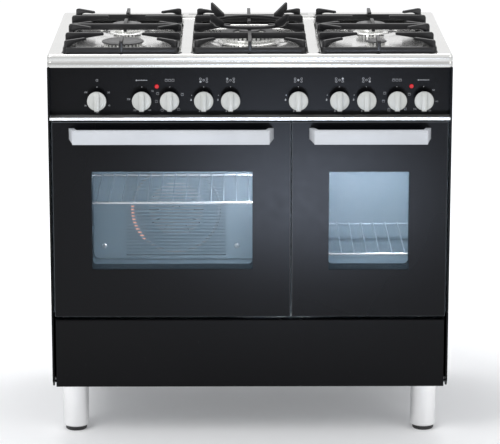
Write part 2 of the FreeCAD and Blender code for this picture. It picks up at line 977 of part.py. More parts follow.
def grill_element(name, centre, rods):
    """Rod folded to and fro under the cavity roof, its ends plugged into the rear wall."""
    wire = d.element_radius
    z = cavity_top - d.grill_drop
    front = deep(flange_front + d.grill_front_gap)
    first = centre - d.grill_pitch * (rods - 1) / 2
    pieces = []
    for k in range(rods):
        length = deep(cavity_back) - front if k in (0, rods - 1) else d.grill_length
        x = first + d.grill_pitch * k
        pieces.append(cylinder(f"{name}_rod", wire, length, x, front, z, along_y))
    for k in range(rods - 1):
        x = first + d.grill_pitch * k - wire / 2
        y = front if k % 2 == 0 else front + d.grill_length
        pieces.append(cylinder(f"{name}_turn", wire, d.grill_pitch + wire, x, y, z, along_x))
    return fuse(name, pieces)


ring_sides = 8
main_grill_rods = 6
second_grill_rods = 4


def heating_elements():
    fan_ring_y = deep(cavity_back - d.ring_stand_off)
    heater = new_body("ring_loop")
    section = []
    for k in range(ring_sides):
        turn = math.tau * k / ring_sides
        section.append((d.ring_radius + d.element_radius * math.cos(turn), d.element_radius * math.sin(turn)))
    revolve(heater, section)
    place(heater, main_centre, fan_ring_y, fan_z, facing_front)
    leads = []
    for side in (-1, 1):
        x = main_centre + side * d.element_radius * 4
        z = fan_z + d.ring_radius
        leads.append(cylinder("ring_lead", d.element_radius, d.ring_stand_off, x, fan_ring_y,
                              z - d.element_radius / 2, along_y))
    ring_element = fuse("ring_element", [heater, *leads])
    main_grill = grill_element("main_grill", main_centre, main_grill_rods)
    second_grill = grill_element("second_grill", second_centre, second_grill_rods)
    keep("heating_elements", group("heating_elements", [ring_element, main_grill, second_grill]))


def oven_lamp(name, x, z):
    body = new_body(f"lamp_{name}")
    revolve(body, [
        (0, 0),
        (d.lamp_radius, 0),
        (d.lamp_radius, d.lamp_collar),
        (d.lamp_radius * dome_shares[0], d.lamp_collar + d.lamp_dome * dome_shares[1]),
        (d.lamp_radius * dome_shares[2], d.lamp_collar + d.lamp_dome),
        (0, d.lamp_collar + d.lamp_dome),
    ])
    return place(body, x, deep(cavity_back), z, facing_front)


dome_shares = (0.88, 0.65, 0.5)


def ovens():
    oven_liner("main_liner", -sheet_inner, middle_seam, main_centre, d.main_cavity_width, True)
    oven_liner("second_liner", middle_seam, sheet_inner, second_centre, d.second_cavity_width, False)
    seals = [
        door_seal("main", main_centre, d.main_cavity_width),
        door_seal("second", second_centre, d.second_cavity_width),
    ]
    keep("door_seals", group("door_seals", seals))
    brackets = []
    for x in hinge_places(main_left, main_right) + hinge_places(second_left, second_right):
        brackets.append(hinge_bracket(f"bracket_{len(brackets)}", x))
    keep("door_hinges", group("door_hinges", brackets))
    rest = d.shelf_rail_radius + d.clearance
    main_level = cavity_floor + d.ridge_first + d.ridge_pitch * 2
    second_level = cavity_floor + d.ridge_first
    shelf("main_shelf", main_centre, d.main_cavity_width, main_level + rest)
    shelf("second_shelf", second_centre, d.second_cavity_width, second_level + rest)
    fan_baffle()
    oven_fan()
    fan_motor()
    heating_elements()
    lamp_z = cavity_top - d.lamp_drop
    main_lamp_x = main_centre - d.main_cavity_width / 2 + d.lamp_inset
    second_lamp_x = second_centre + d.second_cavity_width / 2 - d.lamp_inset
    lamps = [oven_lamp("main", main_lamp_x, lamp_z), oven_lamp("second", second_lamp_x, lamp_z)]
    keep("oven_lamps", group("oven_lamps", lamps))


# Doors

def window_outline(centre, width, grow):
    low = door_bottom + d.window_rise
    return rectangle(centre - width / 2 - grow, centre + width / 2 + grow,
                     low - grow, low + d.window_height + grow, d.window_corner)


def door_glass(label, left, right):
    body = new_body(label)
    outline = rectangle(left, right, door_bottom, door_top, d.door_corner)
    pad(body, "XZ", [outline], deep(0), d.door_glass)
    front = deep(0).value
    dress(body, "Chamfer", d.door_glass_edge, lambda edge: edge.BoundBox.YMax - front < tolerance)
    return keep(label, body)


def door_panel(label, left, right, window_centre, window_width):
    """Pressed inner shell, open to the outer glass, with a window and two hinge pockets."""
    body = new_body(label)
    skin = d.door_panel_sheet
    inset = d.door_panel_inset
    low = door_bottom + inset / 2
    high = door_top - inset
    outer = rectangle(left + inset, right - inset, low, high, d.door_corner * 2)
    inner = rectangle(left + inset + skin, right - inset - skin, low + skin, high - skin, d.door_corner)
    start = deep(d.door_glass)
    depth = d.door_depth - d.door_glass
    pad(body, "XZ", [outer], start, depth)
    pocket(body, "XZ", [inner], start - d.overrun, depth - skin + d.overrun)
    window = window_outline(window_centre, window_width, 0)
    pocket(body, "XZ", [window], deep(d.door_depth) - skin - d.overrun, skin + d.overrun * 2)
    half_slot = d.hinge_plate / 2 + d.hinge_side_gap
    lug_length = half_slot + d.hinge_lug
    for x in hinge_places(left, right):
        lug_back = d.hinge_axis_depth * 2
        lug = rectangle(deep(d.door_glass), deep(lug_back), low, low + d.hinge_lug_height)
        pad(body, "YZ", [lug], x - lug_length, lug_length * 2)
        slot = rectangle(deep(d.door_glass) - d.overrun, deep(d.door_depth) + d.overrun,
                         low - d.overrun, low + d.hinge_slot_height)
        pocket(body, "YZ", [slot], x - half_slot, half_slot * 2)
        bore = circle(hinge_y, hinge_z, d.pin_radius + d.running_fit)
        reach = lug_length + d.overrun
        pocket(body, "YZ", [bore], x - reach, reach * 2)
    return keep(label, body)


def inner_glass(label, centre, width):
    body = new_body(label)
    outline = window_outline(centre, width, d.inner_glass_lap)
    start = deep(d.door_depth) - d.door_panel_sheet - d.inner_glass_sheet
    pad(body, "XZ", [outline], start, d.inner_glass_sheet)
    return keep(label, body)


def handle(label, left, right):
    """Bevelled bar on two feet that flare outward to the door glass."""
    body = new_body(label)
    front = deep(-d.handle_reach)
    back = front + d.bar_depth
    low = door_bottom + d.bar_rise
    high = low + d.bar_height
    section = [
        (front, low),
        (back, low),
        (back, high),
        (front + d.bar_bevel, high),
        (front, high - d.bar_bevel),
    ]
    bar_left = left + d.handle_side_inset + d.handle_flare
    bar_right = right - d.handle_side_inset - d.handle_flare
    pad(body, "YZ", [section], bar_left, bar_right - bar_left)
    for inner, outward in ((bar_left, -1), (bar_right, 1)):
        foot_middle = low + d.bar_height / 2
        top = rectangle(inner, inner - outward * d.handle_foot_width, low, high)
        bottom = rectangle(inner + outward * d.handle_flare,
                           inner + outward * (d.handle_flare - d.handle_foot_width),
                           foot_middle - d.handle_foot_height / 2,
                           foot_middle + d.handle_foot_height / 2)
        loft = body.newObject("PartDesign::AdditiveLoft", f"{label}_foot")
        loft.Profile = sketch_on(body, "XZ", back - d.bar_depth / 2, [top])
        loft.Sections = [sketch_on(body, "XZ", deep(0), [bottom])]
        loft.Ruled = True
    return keep(label, body)


def doors():
    window_centre = main_centre
    door_glass("main_door_glass", main_left, main_right)
    door_panel("main_door_panel", main_left, main_right, window_centre, d.main_window_width)
    inner_glass("main_inner_glass", window_centre, d.main_window_width)
    handle("main_handle", main_left, main_right)
    door_glass("second_door_glass", second_left, second_right)
    door_panel("second_door_panel", second_left, second_right, second_centre, d.second_window_width)
    inner_glass("second_inner_glass", second_centre, d.second_window_width)
    handle("second_handle", second_left, second_right)


# Controls

def knob_x(share):
    return half_width * share


supply_x = half_width * gas_knob_shares["front_right"] + d.supply_side


def control_panel():
    """Channel section, flanged back at the top and bottom, drilled for the shafts."""
    body = new_body("control_panel")
    front = deep(d.fascia_recess)
    back = front + d.fascia_flange
    low = ledge_top
    high = skirt_bottom + d.fascia_tuck
    skin = d.fascia_sheet
    section = [
        (front, low),
        (back, low),
        (back, low + skin),
        (front + skin, low + skin),
        (front + skin, high - skin),
        (back, high - skin),
        (back, high),
        (front, high),
    ]
    half = sheet_inner - d.clearance
    pad(body, "YZ", [section], -half, half * 2)
    holes = []
    for share in [*gas_knob_shares.values(), *oven_knob_shares.values()]:
        holes.append(circle(knob_x(share), knob_z, d.knob_hole))
    for share in pilot_place_shares.values():
        holes.append(circle(knob_x(share), ledge_top + d.lamp_rise, d.pilot_hole))
    pocket(body, "XZ", holes, front - d.overrun, skin + d.overrun * 2)
    return keep("control_panel", body)


def fascia_trim():
    """Steel ledge between the control panel and the doors."""
    body = new_body("fascia_trim")
    back = deep(flange_front + d.ledge_back)
    skin = d.ledge_sheet
    section = [
        (deep(0), ledge_bottom),
        (deep(d.ledge_return), ledge_bottom),
        (deep(d.ledge_return), ledge_bottom + skin),
        (deep(skin), ledge_bottom + skin),
        (deep(skin), ledge_top - skin),
        (back, ledge_top - skin),
        (back, ledge_top),
        (deep(0), ledge_top),
    ]
    pad(body, "YZ", [section], -hem_inner, hem_inner * 2)
    return keep("fascia_trim", body)


def pilot_lamp(name, share):
    body = new_body(f"pilot_{name}")
    proud = d.pilot_proud
    revolve(body, [
        (0, -d.fascia_sheet * 2),
        (d.pilot_hole, -d.fascia_sheet * 2),
        (d.pilot_hole, 0),
        (d.pilot_radius, 0),
        (d.pilot_radius, proud / 2),
        (d.pilot_radius - proud / 2, proud),
        (0, proud),
    ])
    return place(body, knob_x(share), deep(d.fascia_recess), ledge_top + d.lamp_rise, facing_front)


def knob(name, share, shaft_radius):
    """Satin cap on a narrower collar; its own Z axis points to the front, from the panel face."""
    label = f"knob_{name}"
    body = new_body(label)
    bore = shaft_radius + d.running_fit
    disc_end = d.knob_disc_start + d.knob_disc
    revolve(body, [
        (bore, d.knob_back_gap),
        (d.knob_collar_radius, d.knob_back_gap),
        (d.knob_collar_radius, d.knob_disc_start),
        (d.knob_radius - d.knob_edge, d.knob_disc_start),
        (d.knob_radius, d.knob_disc_start + d.knob_edge),
        (d.knob_radius, disc_end - d.knob_edge),
        (d.knob_radius - d.knob_edge, disc_end),
        (0, disc_end),
        (0, d.knob_bore_end),
        (bore, d.knob_bore_end),
    ])
    half = d.knob_grip_width / 2
    grip_low = -d.knob_grip_low
    side = [
        (grip_low, d.knob_disc_start + d.knob_disc / 2),
        (d.knob_radius - d.knob_edge, d.knob_disc_start + d.knob_disc / 2),
        (d.knob_radius - d.knob_edge, disc_end + d.knob_grip - d.knob_grip_bevel),
        (d.knob_radius - d.knob_edge - d.knob_grip_bevel * 2, disc_end + d.knob_grip),
        (grip_low + d.knob_grip_bevel / 2, disc_end + d.knob_grip),
        (grip_low, disc_end + d.knob_grip - d.knob_grip_bevel / 2),
    ]
    pad(body, "YZ", [side], -half, half * 2)
    place(body, knob_x(share), deep(d.fascia_recess), knob_z, facing_front)
    return keep(label, body)


def spindle(name, share):
    """Shaft that slides in a gas tap and turns the knob; its Z axis points to the front."""
    rear = -(d.fascia_sheet + d.tap_bore - d.spindle_gap)
    length = d.knob_bore_end - d.clearance - rear
    rod = cylinder(f"spindle_{name}", d.gas_shaft_radius, length,
                   knob_x(share), deep(d.fascia_recess) - rear, knob_z, facing_front)
    return keep(f"spindle_{name}", rod)


def gas_rail():
    """Supply pipe with five taps; every tap is bored for its spindle."""
    rail_y = deep(fascia_back + d.tap_length)
    pieces = []
    for name, share in gas_knob_shares.items():
        block = cylinder(f"tap_{name}", d.tap_radius, d.tap_length, knob_x(share), deep(fascia_back),
                         knob_z, along_y)
        bore = cylinder(f"tap_bore_{name}", d.gas_shaft_radius + d.running_fit, d.tap_bore + d.overrun,
                        knob_x(share), deep(fascia_back) - d.overrun, knob_z, along_y)
        pieces.append(cut(f"bored_tap_{name}", block, bore))
    rail_left = knob_x(gas_knob_shares["front_left"]) - d.rail_end
    pieces.append(cylinder("rail", d.rail_radius, supply_x - rail_left, rail_left, rail_y, knob_z, along_x))
    elbow = doc.addObject("Part::Sphere", "elbow")
    bind(elbow, {"Radius": d.rail_radius})
    pieces.append(place(elbow, supply_x, rail_y, knob_z))
    pipe_end = deep(d.hob_depth - d.inlet_set_back)
    pieces.append(cylinder("supply", d.rail_radius, pipe_end - rail_y, supply_x, rail_y, knob_z, along_y))
    pieces.append(cylinder("inlet", d.inlet_radius, d.inlet_length, supply_x, pipe_end - d.inlet_length,
                           knob_z, along_y))
    return keep("gas_rail", fuse("gas_rail", pieces))


def oven_switch(name, share):
    body = new_body(f"switch_{name}")
    x = knob_x(share)
    half = d.switch_width / 2
    low = knob_z - d.switch_height / 2
    outline = rectangle(x - half, x + half, low, low + d.switch_height, d.switch_shaft_radius)
    pad(body, "XZ", [outline], deep(fascia_back), d.switch_depth)
    shaft_front = deep(d.fascia_recess) - d.knob_bore_end + d.clearance
    shaft = circle(x, knob_z, d.switch_shaft_radius)
    pad(body, "XZ", [shaft], shaft_front, deep(fascia_back) - shaft_front + d.overrun)
    return body


def controls():
    control_panel()
    fascia_trim()
    pilots = [pilot_lamp(name, share) for name, share in pilot_place_shares.items()]
    keep("indicator_lamps", group("indicator_lamps", pilots))
    for name, share in gas_knob_shares.items():
        spindle(name, share)
        knob(name, share, d.gas_shaft_radius)
    for name, share in oven_knob_shares.items():
        knob(name, share, d.switch_shaft_radius)
    gas_rail()
    switches = [oven_switch(name, share) for name, share in oven_knob_shares.items()]
    keep("oven_switches", group("oven_switches", switches))


# Hob

side_well = half_width - d.rim_side - d.strip_width - d.centre_well / 2
side_well_centre = d.centre_well / 2 + d.strip_width + side_well / 2
well_places = {
    "left": (-side_well_centre, side_well),
    "centre": (as_size(0), d.centre_well),
    "right": (side_well_centre, side_well),
}
well_front = deep(d.rim_front)
well_back = well_front + d.well_length
row_front = deep(d.front_burner_depth)
row_back = row_front + d.burner_rows
row_middle = row_front + d.burner_rows / 2

burner_places = {
    "front_left": (-side_well_centre, row_front, d.large_cap, 28),
    "rear_left": (-side_well_centre, row_back, d.medium_cap, 20),
    "wok": (as_size(0), row_middle, d.wok_cap, 36),
    "rear_right": (side_well_centre, row_back, d.medium_cap, 20),
    "front_right": (side_well_centre, row_front, d.small_cap, 14),
}


def hob_top():
    """Pressed steel top: rolled edge, grooved skirt, three wells and five burner holes."""
    body = new_body("hob_top")
    back = deep(d.hob_depth)
    skin = d.hob_sheet
    outer = rectangle(-half_width, half_width, deep(0), back, d.hob_corner)
    pad(body, "XY", [outer], skirt_bottom, d.skirt_drop)
    top = rim_top.value
    dress(body, "Fillet", d.hob_roll, lambda edge: edge.BoundBox.ZMin > top - tolerance)
    cut_in = d.groove_cut
    over = d.overrun
    ring_outer = rectangle(-half_width - over, half_width + over, deep(0) - over, back + over)
    ring_inner = rectangle(-half_width + cut_in, half_width - cut_in, deep(0) + cut_in, back - cut_in,
                           d.hob_corner - cut_in)
    pocket(body, "XY", [ring_outer, ring_inner], rim_top - d.groove_drop - d.groove_height, d.groove_height)
    wells = []
    islands = []
    for x, width in well_places.values():
        wells.append(rectangle(x - width / 2, x + width / 2, well_front, well_back, d.well_corner))
        islands.append(rectangle(x - width / 2 - skin, x + width / 2 + skin, well_front - skin,
                                 well_back + skin, d.well_corner + skin))
    pocket(body, "XY", wells, well_floor, d.well_depth + over)
    inside = rectangle(-half_width + skin, half_width - skin, deep(0) + skin, back - skin,
                       d.hob_corner - skin)
    roll = d.hob_roll
    upper = rectangle(-half_width + roll, half_width - roll, deep(0) + roll, back - roll,
                      d.hob_corner - roll)
    floor_under = well_floor - skin
    pocket(body, "XY", [inside], skirt_bottom - over, floor_under - skirt_bottom + over)
    pocket(body, "XY", [inside, *islands], floor_under, rim_top - roll - floor_under)
    pocket(body, "XY", [upper, *islands], rim_top - roll, roll - skin)
    lip_half = half_width - d.hob_corner
    for low, high in ((deep(0) + skin / 2, deep(0) + d.skirt_return),
                      (back - d.skirt_return, back - skin / 2)):
        pad(body, "XY", [rectangle(-lip_half, lip_half, low, high)], skirt_bottom, skin)
    holes = [circle(x, y, cap - d.cup_inset) for x, y, cap, slots in burner_places.values()]
    pocket(body, "XY", holes, floor_under - over, skin + over * 2)
    vent_inset = d.vent_height
    vent_hole = rectangle(-d.vent_length / 2 + vent_inset, d.vent_length / 2 - vent_inset,
                          vent_front + vent_inset, vent_front + d.vent_width - vent_inset)
    pocket(body, "XY", [vent_hole], rim_top - skin - over, skin + over * 2)
    return keep("hob_top", body)


vent_front = deep(d.hob_depth) - d.vent_back_gap - d.vent_width
vent_slots = 12


def rear_vent():
    body = new_body("rear_vent")
    half = d.vent_length / 2
    outline = rectangle(-half, half, vent_front, vent_front + d.vent_width, d.vent_height)
    pad(body, "XY", [outline], rim_top, d.vent_height)
    top = (rim_top + d.vent_height).value
    dress(body, "Chamfer", d.vent_height / 2, lambda edge: edge.BoundBox.ZMin > top - tolerance)
    first = -d.vent_slot_pitch * (vent_slots - 1) / 2
    middle = vent_front + d.vent_width / 2
    slots = []
    for k in range(vent_slots):
        x = first + d.vent_slot_pitch * k
        slots.append(rectangle(x - d.vent_slot_length / 2, x + d.vent_slot_length / 2,
                               middle - d.vent_slot_width / 2, middle + d.vent_slot_width / 2))
    pocket(body, "XY", slots, rim_top - d.overrun, d.vent_height + d.overrun * 2)
    return keep("rear_vent", body)


def burner_cup(name, x, y, cap):
    """Mixing cup that hangs in the hob hole by its flange, with the spark pin beside it."""
    body = new_body(f"cup_{name}")
    hole = cap - d.cup_inset
    revolve(body, [
        (0, -d.cup_drop),
        (hole - d.cup_inset, -d.cup_drop),
        (hole - d.cup_gap, -d.hob_sheet),
        (hole - d.cup_gap, 0),
        (cap + d.cup_lap, 0),
        (cap + d.cup_lap, d.cup_flange / 2),
        (cap, d.cup_flange),
        (0, d.cup_flange),
    ])
    pin_x = cap + d.igniter_radius + d.cup_gap
    pin = circle(pin_x * pin_shares[0], pin_x * pin_shares[1], d.igniter_radius)
    pad(body, "XY", [pin], 0, d.igniter_height + d.cup_flange)
    return place(body, x, y, well_floor)


pin_shares = (0.707, 0.707)


def crown(name, x, y, cap, slots):
    """Slotted ring that the flames leave through."""
    body = new_body(f"crown_{name}")
    rim = cap - d.head_inset
    high = d.head_height
    revolve(body, [
        (0, 0),
        (rim, 0),
        (rim, high),
        (0, high),
    ])
    half = d.crown_slot / 2
    slot = rectangle(rim - d.crown_slot_depth, rim + d.overrun, -half, half)
    low = high - d.crown_slot_height
    first = pocket(body, "XY", [slot], low, d.crown_slot_height + d.overrun)
    repeat_round(body, first, slots)
    return place(body, x, y, well_floor + d.cup_flange)


def burner_cap(name, x, y, cap):
    body = new_body(f"cap_{name}")
    edge = d.cap_edge
    revolve(body, [
        (0, 0),
        (cap - edge / 2, 0),
        (cap, edge / 2),
        (cap, d.cap_height - edge),
        (cap - edge, d.cap_height - edge / 2),
        (cap - edge * 3, d.cap_height),
        (0, d.cap_height),
    ])
    return place(body, x, y, well_floor + d.cup_flange + d.head_height)


def wok_cap(x, y):
    """Outer ring cap and the small raised cap in its middle, as one turned piece each."""
    edge = d.cap_edge
    outer = new_body("cap_wok_ring")
    inner_radius = d.wok_inner_cap + d.cup_lap * 2
    revolve(outer, [
        (inner_radius, 0),
        (d.wok_cap - edge / 2, 0),
        (d.wok_cap, edge / 2),
        (d.wok_cap, d.cap_height - edge),
        (d.wok_cap - edge, d.cap_height - edge / 2),
        (inner_radius, d.cap_height),
    ])
    inner = new_body("cap_wok_middle")
    revolve(inner, [
        (0, 0),
        (d.wok_inner_cap - edge, 0),
        (d.wok_inner_cap - edge, d.cap_height),
        (d.wok_inner_cap, d.cap_height),
        (d.wok_inner_cap, d.cap_height * 2 - edge / 2),
        (d.wok_inner_cap - edge, d.cap_height * 2),
        (0, d.cap_height * 2),
    ])
    z = well_floor + d.cup_flange + d.head_height
    return [place(outer, x, y, z), place(inner, x, y, z)]


def burners():
    cups = []
    crowns = []
    caps = []
    for name, (x, y, cap, slots) in burner_places.items():
        cups.append(burner_cup(name, x, y, cap))
        crowns.append(crown(name, x, y, cap, slots))
        caps.extend(wok_cap(x, y) if name == "wok" else [burner_cap(name, x, y, cap)])
    keep("burner_cups", group("burner_cups", cups))
    keep("burner_heads", group("burner_heads", crowns))
    keep("burner_caps", group("burner_caps", caps))


# Cast pan supports: a low frame on pegs, with fingers that point at each burner

def finger_outline(length):
    """Straight top, upright back and a rising underside."""
    top = d.finger_top - d.frame_lift
    return [
        (0, 0),
        (0, top - d.finger_shoulder),
        (d.finger_shoulder, top),
        (length, top),
        (length, top - d.finger_tip_height),
        (length * underside_shares[0], top - d.finger_tip_height - d.finger_shoulder / 2),
        (d.bar_width, d.frame_height * underside_shares[1]),
        (d.bar_width, 0),
    ]


underside_shares = (0.45, 0.9)


def finger(label, x, y, turn, length):
    return upright_plate(f"{label}_finger", finger_outline(length), d.finger_thick, x, y,
                         well_floor + d.frame_lift, turn)


frame_corner = d.well_corner - d.support_gap


def support_frame(label, x, half, front, back):
    low = well_floor + d.frame_lift
    bar = d.bar_width
    outer = rectangle(x - half, x + half, front, back, frame_corner)
    inner = rectangle(x - half + bar, x + half - bar, front + bar, back - bar, frame_corner - bar)
    return flat_plate(f"{label}_frame", [outer, inner], d.frame_height, low)


def cross_bar(label, x, half, y, top):
    low = well_floor + d.frame_lift
    outline = rectangle(x - half, x + half, y - d.bar_width / 2, y + d.bar_width / 2)
    return flat_plate(f"{label}_cross", [outline], top, low)


def peg(label, x, y):
    low = well_floor + d.clearance
    return cylinder(f"{label}_peg", d.support_peg, d.frame_lift - d.clearance + d.overrun, x, y, low)


def side_support(label, x):
    half = side_well / 2 - d.support_gap
    front = well_front + d.support_gap
    back = well_back - d.support_gap
    pieces = [support_frame(label, x, half, front, back)]
    pieces.append(cross_bar(label, x, half - d.bar_width / 2, row_middle, d.frame_height))
    corner = frame_corner / 2
    for row in (row_front, row_back):
        for side, turn in ((-1, 0), (1, 180)):
            pieces.append(finger(label, x + side * half, row, turn, half - d.finger_tip_gap))
        reach = row - front if row is row_front else back - row
        near, near_turn = (front, 90) if row is row_front else (back, -90)
        pieces.append(finger(label, x, near, near_turn, reach - d.finger_tip_gap))
        far_turn = -90 if row is row_front else 90
        span = d.burner_rows / 2 - d.finger_tip_gap
        pieces.append(finger(label, x, row_middle, far_turn, span))
    for side, way in ((-1, 1), (1, -1)):
        for y, turn in ((front, 45 * way), (back, -45 * way)):
            lean = turn if side < 0 else turn + 180
            edge_y = y + corner if y is front else y - corner
            pieces.append(finger(label, x + side * (half - corner), edge_y, lean, d.finger_corner_length))
        for turn in (40 * way, -40 * way):
            lean = turn if side < 0 else turn + 180
            pieces.append(finger(label, x + side * (half - corner), row_middle, lean,
                                 d.finger_corner_length))
        for y in (front + frame_corner, back - frame_corner):
            pieces.append(peg(label, x + side * (half - frame_corner), y))
    return keep(label, fuse(label, pieces))


def centre_support(label, x):
    half = d.centre_well / 2 - d.support_gap
    front = well_front + d.support_gap
    back = well_back - d.support_gap
    top = d.finger_top - d.frame_lift
    low = well_floor + d.frame_lift
    pieces = [support_frame(label, x, half, front, back)]
    corner = frame_corner / 2
    span = d.burner_rows / 2 - d.finger_tip_gap
    for row, turn in ((row_front, 90), (row_back, -90)):
        bridge = [
            (-half, 0),
            (-half, top - d.finger_shoulder),
            (-half + d.finger_shoulder, top),
            (half - d.finger_shoulder, top),
            (half, top - d.finger_shoulder),
            (half, 0),
            (half - d.bar_width, 0),
            (half - d.bar_width * 2, top - d.frame_height),
            (-half + d.bar_width * 2, top - d.frame_height),
            (-half + d.bar_width, 0),
        ]
        pieces.append(upright_plate(f"{label}_bridge", bridge, d.finger_thick, x, row, low))
        tongue = [
            (0, top - d.frame_height),
            (0, top),
            (span, top),
            (span, top - d.finger_tip_height),
        ]
        pieces.append(upright_plate(f"{label}_tongue", tongue, d.finger_thick, x, row, low, turn))
    for side, turn in ((-1, 0), (1, 180)):
        pieces.append(finger(label, x + side * half, row_middle, turn, half - d.finger_tip_gap))
    reach = row_front - front
    pieces.append(finger(label, x, front, 90, reach))
    pieces.append(finger(label, x, back, -90, back - row_back))
    for side, way in ((-1, 1), (1, -1)):
        for y, turn in ((front, 45 * way), (back, -45 * way)):
            lean = turn if side < 0 else turn + 180
            edge_y = y + corner if y is front else y - corner
            pieces.append(finger(label, x + side * (half - corner), edge_y, lean, d.finger_corner_length))
        for y in (front + frame_corner, back - frame_corner):
            pieces.append(peg(label, x + side * (half - frame_corner), y))
    return keep(label, fuse(label, pieces))


cradle_fins = 4


def wok_cradle():
    """Ring with four tall fins, laid on the centre support's fingers."""
    body = new_body("wok_cradle")
    low = 0
    revolve(body, [
        (d.cradle_inner, low),
        (d.cradle_outer, low),
        (d.cradle_outer, d.cradle_ring),
        (d.cradle_inner, d.cradle_ring),
    ])
    fin = [
        (d.fin_inner, low),
        (d.cradle_outer, low),
        (d.fin_outer, d.fin_flare),
        (d.fin_outer, d.fin_top),
        (d.fin_inner, d.fin_inner_top),
    ]
    first = pad(body, "XZ", [fin], -d.fin_thick / 2, d.fin_thick)
    repeat_round(body, first, cradle_fins)
    base = well_floor + d.finger_top + d.clearance
    place(body, as_size(0), row_middle, base, Rotation(Vector(0, 0, 1), 45))
    return keep("wok_cradle", body)


# Terminal box on the back, with its cord gland

def terminal_box():
    body = new_body("terminal_box")
    centre = -half_width + d.terminal_side
    low = body_bottom + d.terminal_rise
    outline = rectangle(centre - d.terminal_width / 2, centre + d.terminal_width / 2,
                        low, low + d.terminal_height, d.terminal_round)
    start = cabinet_back - d.side_sheet
    pad(body, "XZ", [outline], start, d.terminal_depth)
    gland_y = start + d.terminal_depth / 2
    pad(body, "XY", [circle(centre, gland_y, d.gland_radius)], low - d.gland_length, d.gland_length * 2)
    pocket(body, "XY", [circle(centre, gland_y, d.gland_bore)], low - d.gland_length - d.overrun,
           d.gland_length + d.overrun)
    return keep("terminal_box", body)


side_panel("side_panel_left", -1)
side_panel("side_panel_right", 1)
back_panel()
base_tray()
storage_box()
storage_flap()
legs_and_feet()
ovens()
doors()
controls()
hob_top()
rear_vent()
burners()
side_support("pan_support_left", -side_well_centre)
side_support("pan_support_right", side_well_centre)
centre_support("pan_support_centre", as_size(0))
wok_cradle()
terminal_box()
doc.recompute()

for item in doc.Objects:
    if "Invalid" in item.State or "Error" in item.State:
        raise RuntimeError(f"{item.Label} failed: {item.State}")
for label, item in nodes.items():
    if item.Shape.isNull() or not item.Shape.isValid() or item.Shape.Volume <= 0:
        raise RuntimeError(f"{label} has no valid shape")

os.makedirs("parts", exist_ok=True)
for label, item in nodes.items():
    item.Shape.exportStep(f"parts/{label}.step")
    print(label, len(item.Shape.Solids), round(item.Shape.Volume))
print(len(nodes), "nodes")
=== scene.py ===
import math

import bmesh
import bpy
from mathutils import Matrix, Vector


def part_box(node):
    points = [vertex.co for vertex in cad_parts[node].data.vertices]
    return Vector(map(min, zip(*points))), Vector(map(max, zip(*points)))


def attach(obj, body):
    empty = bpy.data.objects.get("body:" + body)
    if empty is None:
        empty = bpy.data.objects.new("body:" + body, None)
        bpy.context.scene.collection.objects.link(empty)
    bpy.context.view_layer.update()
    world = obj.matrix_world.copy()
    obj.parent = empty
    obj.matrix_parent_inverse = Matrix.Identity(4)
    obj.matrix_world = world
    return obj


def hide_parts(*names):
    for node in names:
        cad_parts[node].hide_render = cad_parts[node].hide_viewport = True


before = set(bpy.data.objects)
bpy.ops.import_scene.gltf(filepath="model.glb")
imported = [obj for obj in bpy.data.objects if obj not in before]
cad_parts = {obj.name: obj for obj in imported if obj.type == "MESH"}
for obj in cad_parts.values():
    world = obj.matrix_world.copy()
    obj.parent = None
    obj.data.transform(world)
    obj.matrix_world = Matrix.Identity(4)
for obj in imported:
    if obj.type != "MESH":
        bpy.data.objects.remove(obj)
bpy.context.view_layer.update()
print("frame loaded")


# Places read from the frame; lengths are in metres, and roundings of a few millimetres or less
# stand in the outlines and profiles themselves

def lowHigh(node):
    low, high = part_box(node)
    return Vector(low), Vector(high)


def middleOf(node):
    low, high = lowHigh(node)
    return (low + high) / 2


def middleAndHalf(left, right, bottom, top):
    return ((left + right) / 2, (bottom + top) / 2), ((right - left) / 2, (top - bottom) / 2)


frontY = lowHigh("main_door_glass")[0].y
hobLow, hobHigh = lowHigh("hob_top")
rimZ = hobHigh.z
panelY = lowHigh("control_panel")[0].y


# Mesh helpers

def roundedLoop(bm, centre, halfSize, corner, height, plane, cornerSteps=6):
    # closed loop of edges round a rectangle with rounded corners; in the XZ plane the height is its y
    halfU, halfV = halfSize
    corner = max(min(corner, halfU, halfV), 0.0)
    spots = []
    for quarter, (signU, signV) in enumerate(((1, 1), (-1, 1), (-1, -1), (1, -1))):
        for step in range(cornerSteps + 1):
            turn = math.pi / 2 * (quarter + step / cornerSteps)
            u = signU * (halfU - corner) + corner * math.cos(turn)
            v = signV * (halfV - corner) + corner * math.sin(turn)
            spots.append((centre[0] + u, centre[1] + v))
    verts = []
    for u, v in spots:
        place = (u, v, height) if plane == "XY" else (u, height, v)
        verts.append(bm.verts.new(place))
    return [bm.edges.new((verts[k], verts[(k + 1) % len(verts)])) for k in range(len(verts))]


def bridgeInTurn(bm, loops):
    # a wall between each loop and the next
    faces = []
    for first, second in zip(loops, loops[1:]):
        faces += bmesh.ops.bridge_loops(bm, edges=first + second)["faces"]
    return faces


def sweepAround(bm, centre, halfSize, corner, profile, cornerSteps):
    # profile is a closed list of (inset, height), and each makes one loop
    loops = []
    for inset, height in profile:
        half = (halfSize[0] - inset, halfSize[1] - inset)
        loops.append(roundedLoop(bm, centre, half, max(corner - inset, 0.0004), height, "XY", cornerSteps))
    bridgeInTurn(bm, loops + loops[:1])


def newSince(items, before):
    # what an operator added to the mesh
    return [item for item in items if item not in before]


def edgesOf(verts):
    return list({edge for vert in verts for edge in vert.link_edges})


def turnOutward(bm, verts):
    bmesh.ops.recalc_face_normals(bm, faces=list({face for vert in verts for face in vert.link_faces}))


def bevelEdges(bm, edges, width, segments=2):
    if width > 0:
        bmesh.ops.bevel(bm, geom=edges, offset=width, offset_type="OFFSET", affect="EDGES",
                        segments=segments, profile=0.5, material=-1, clamp_overlap=True)


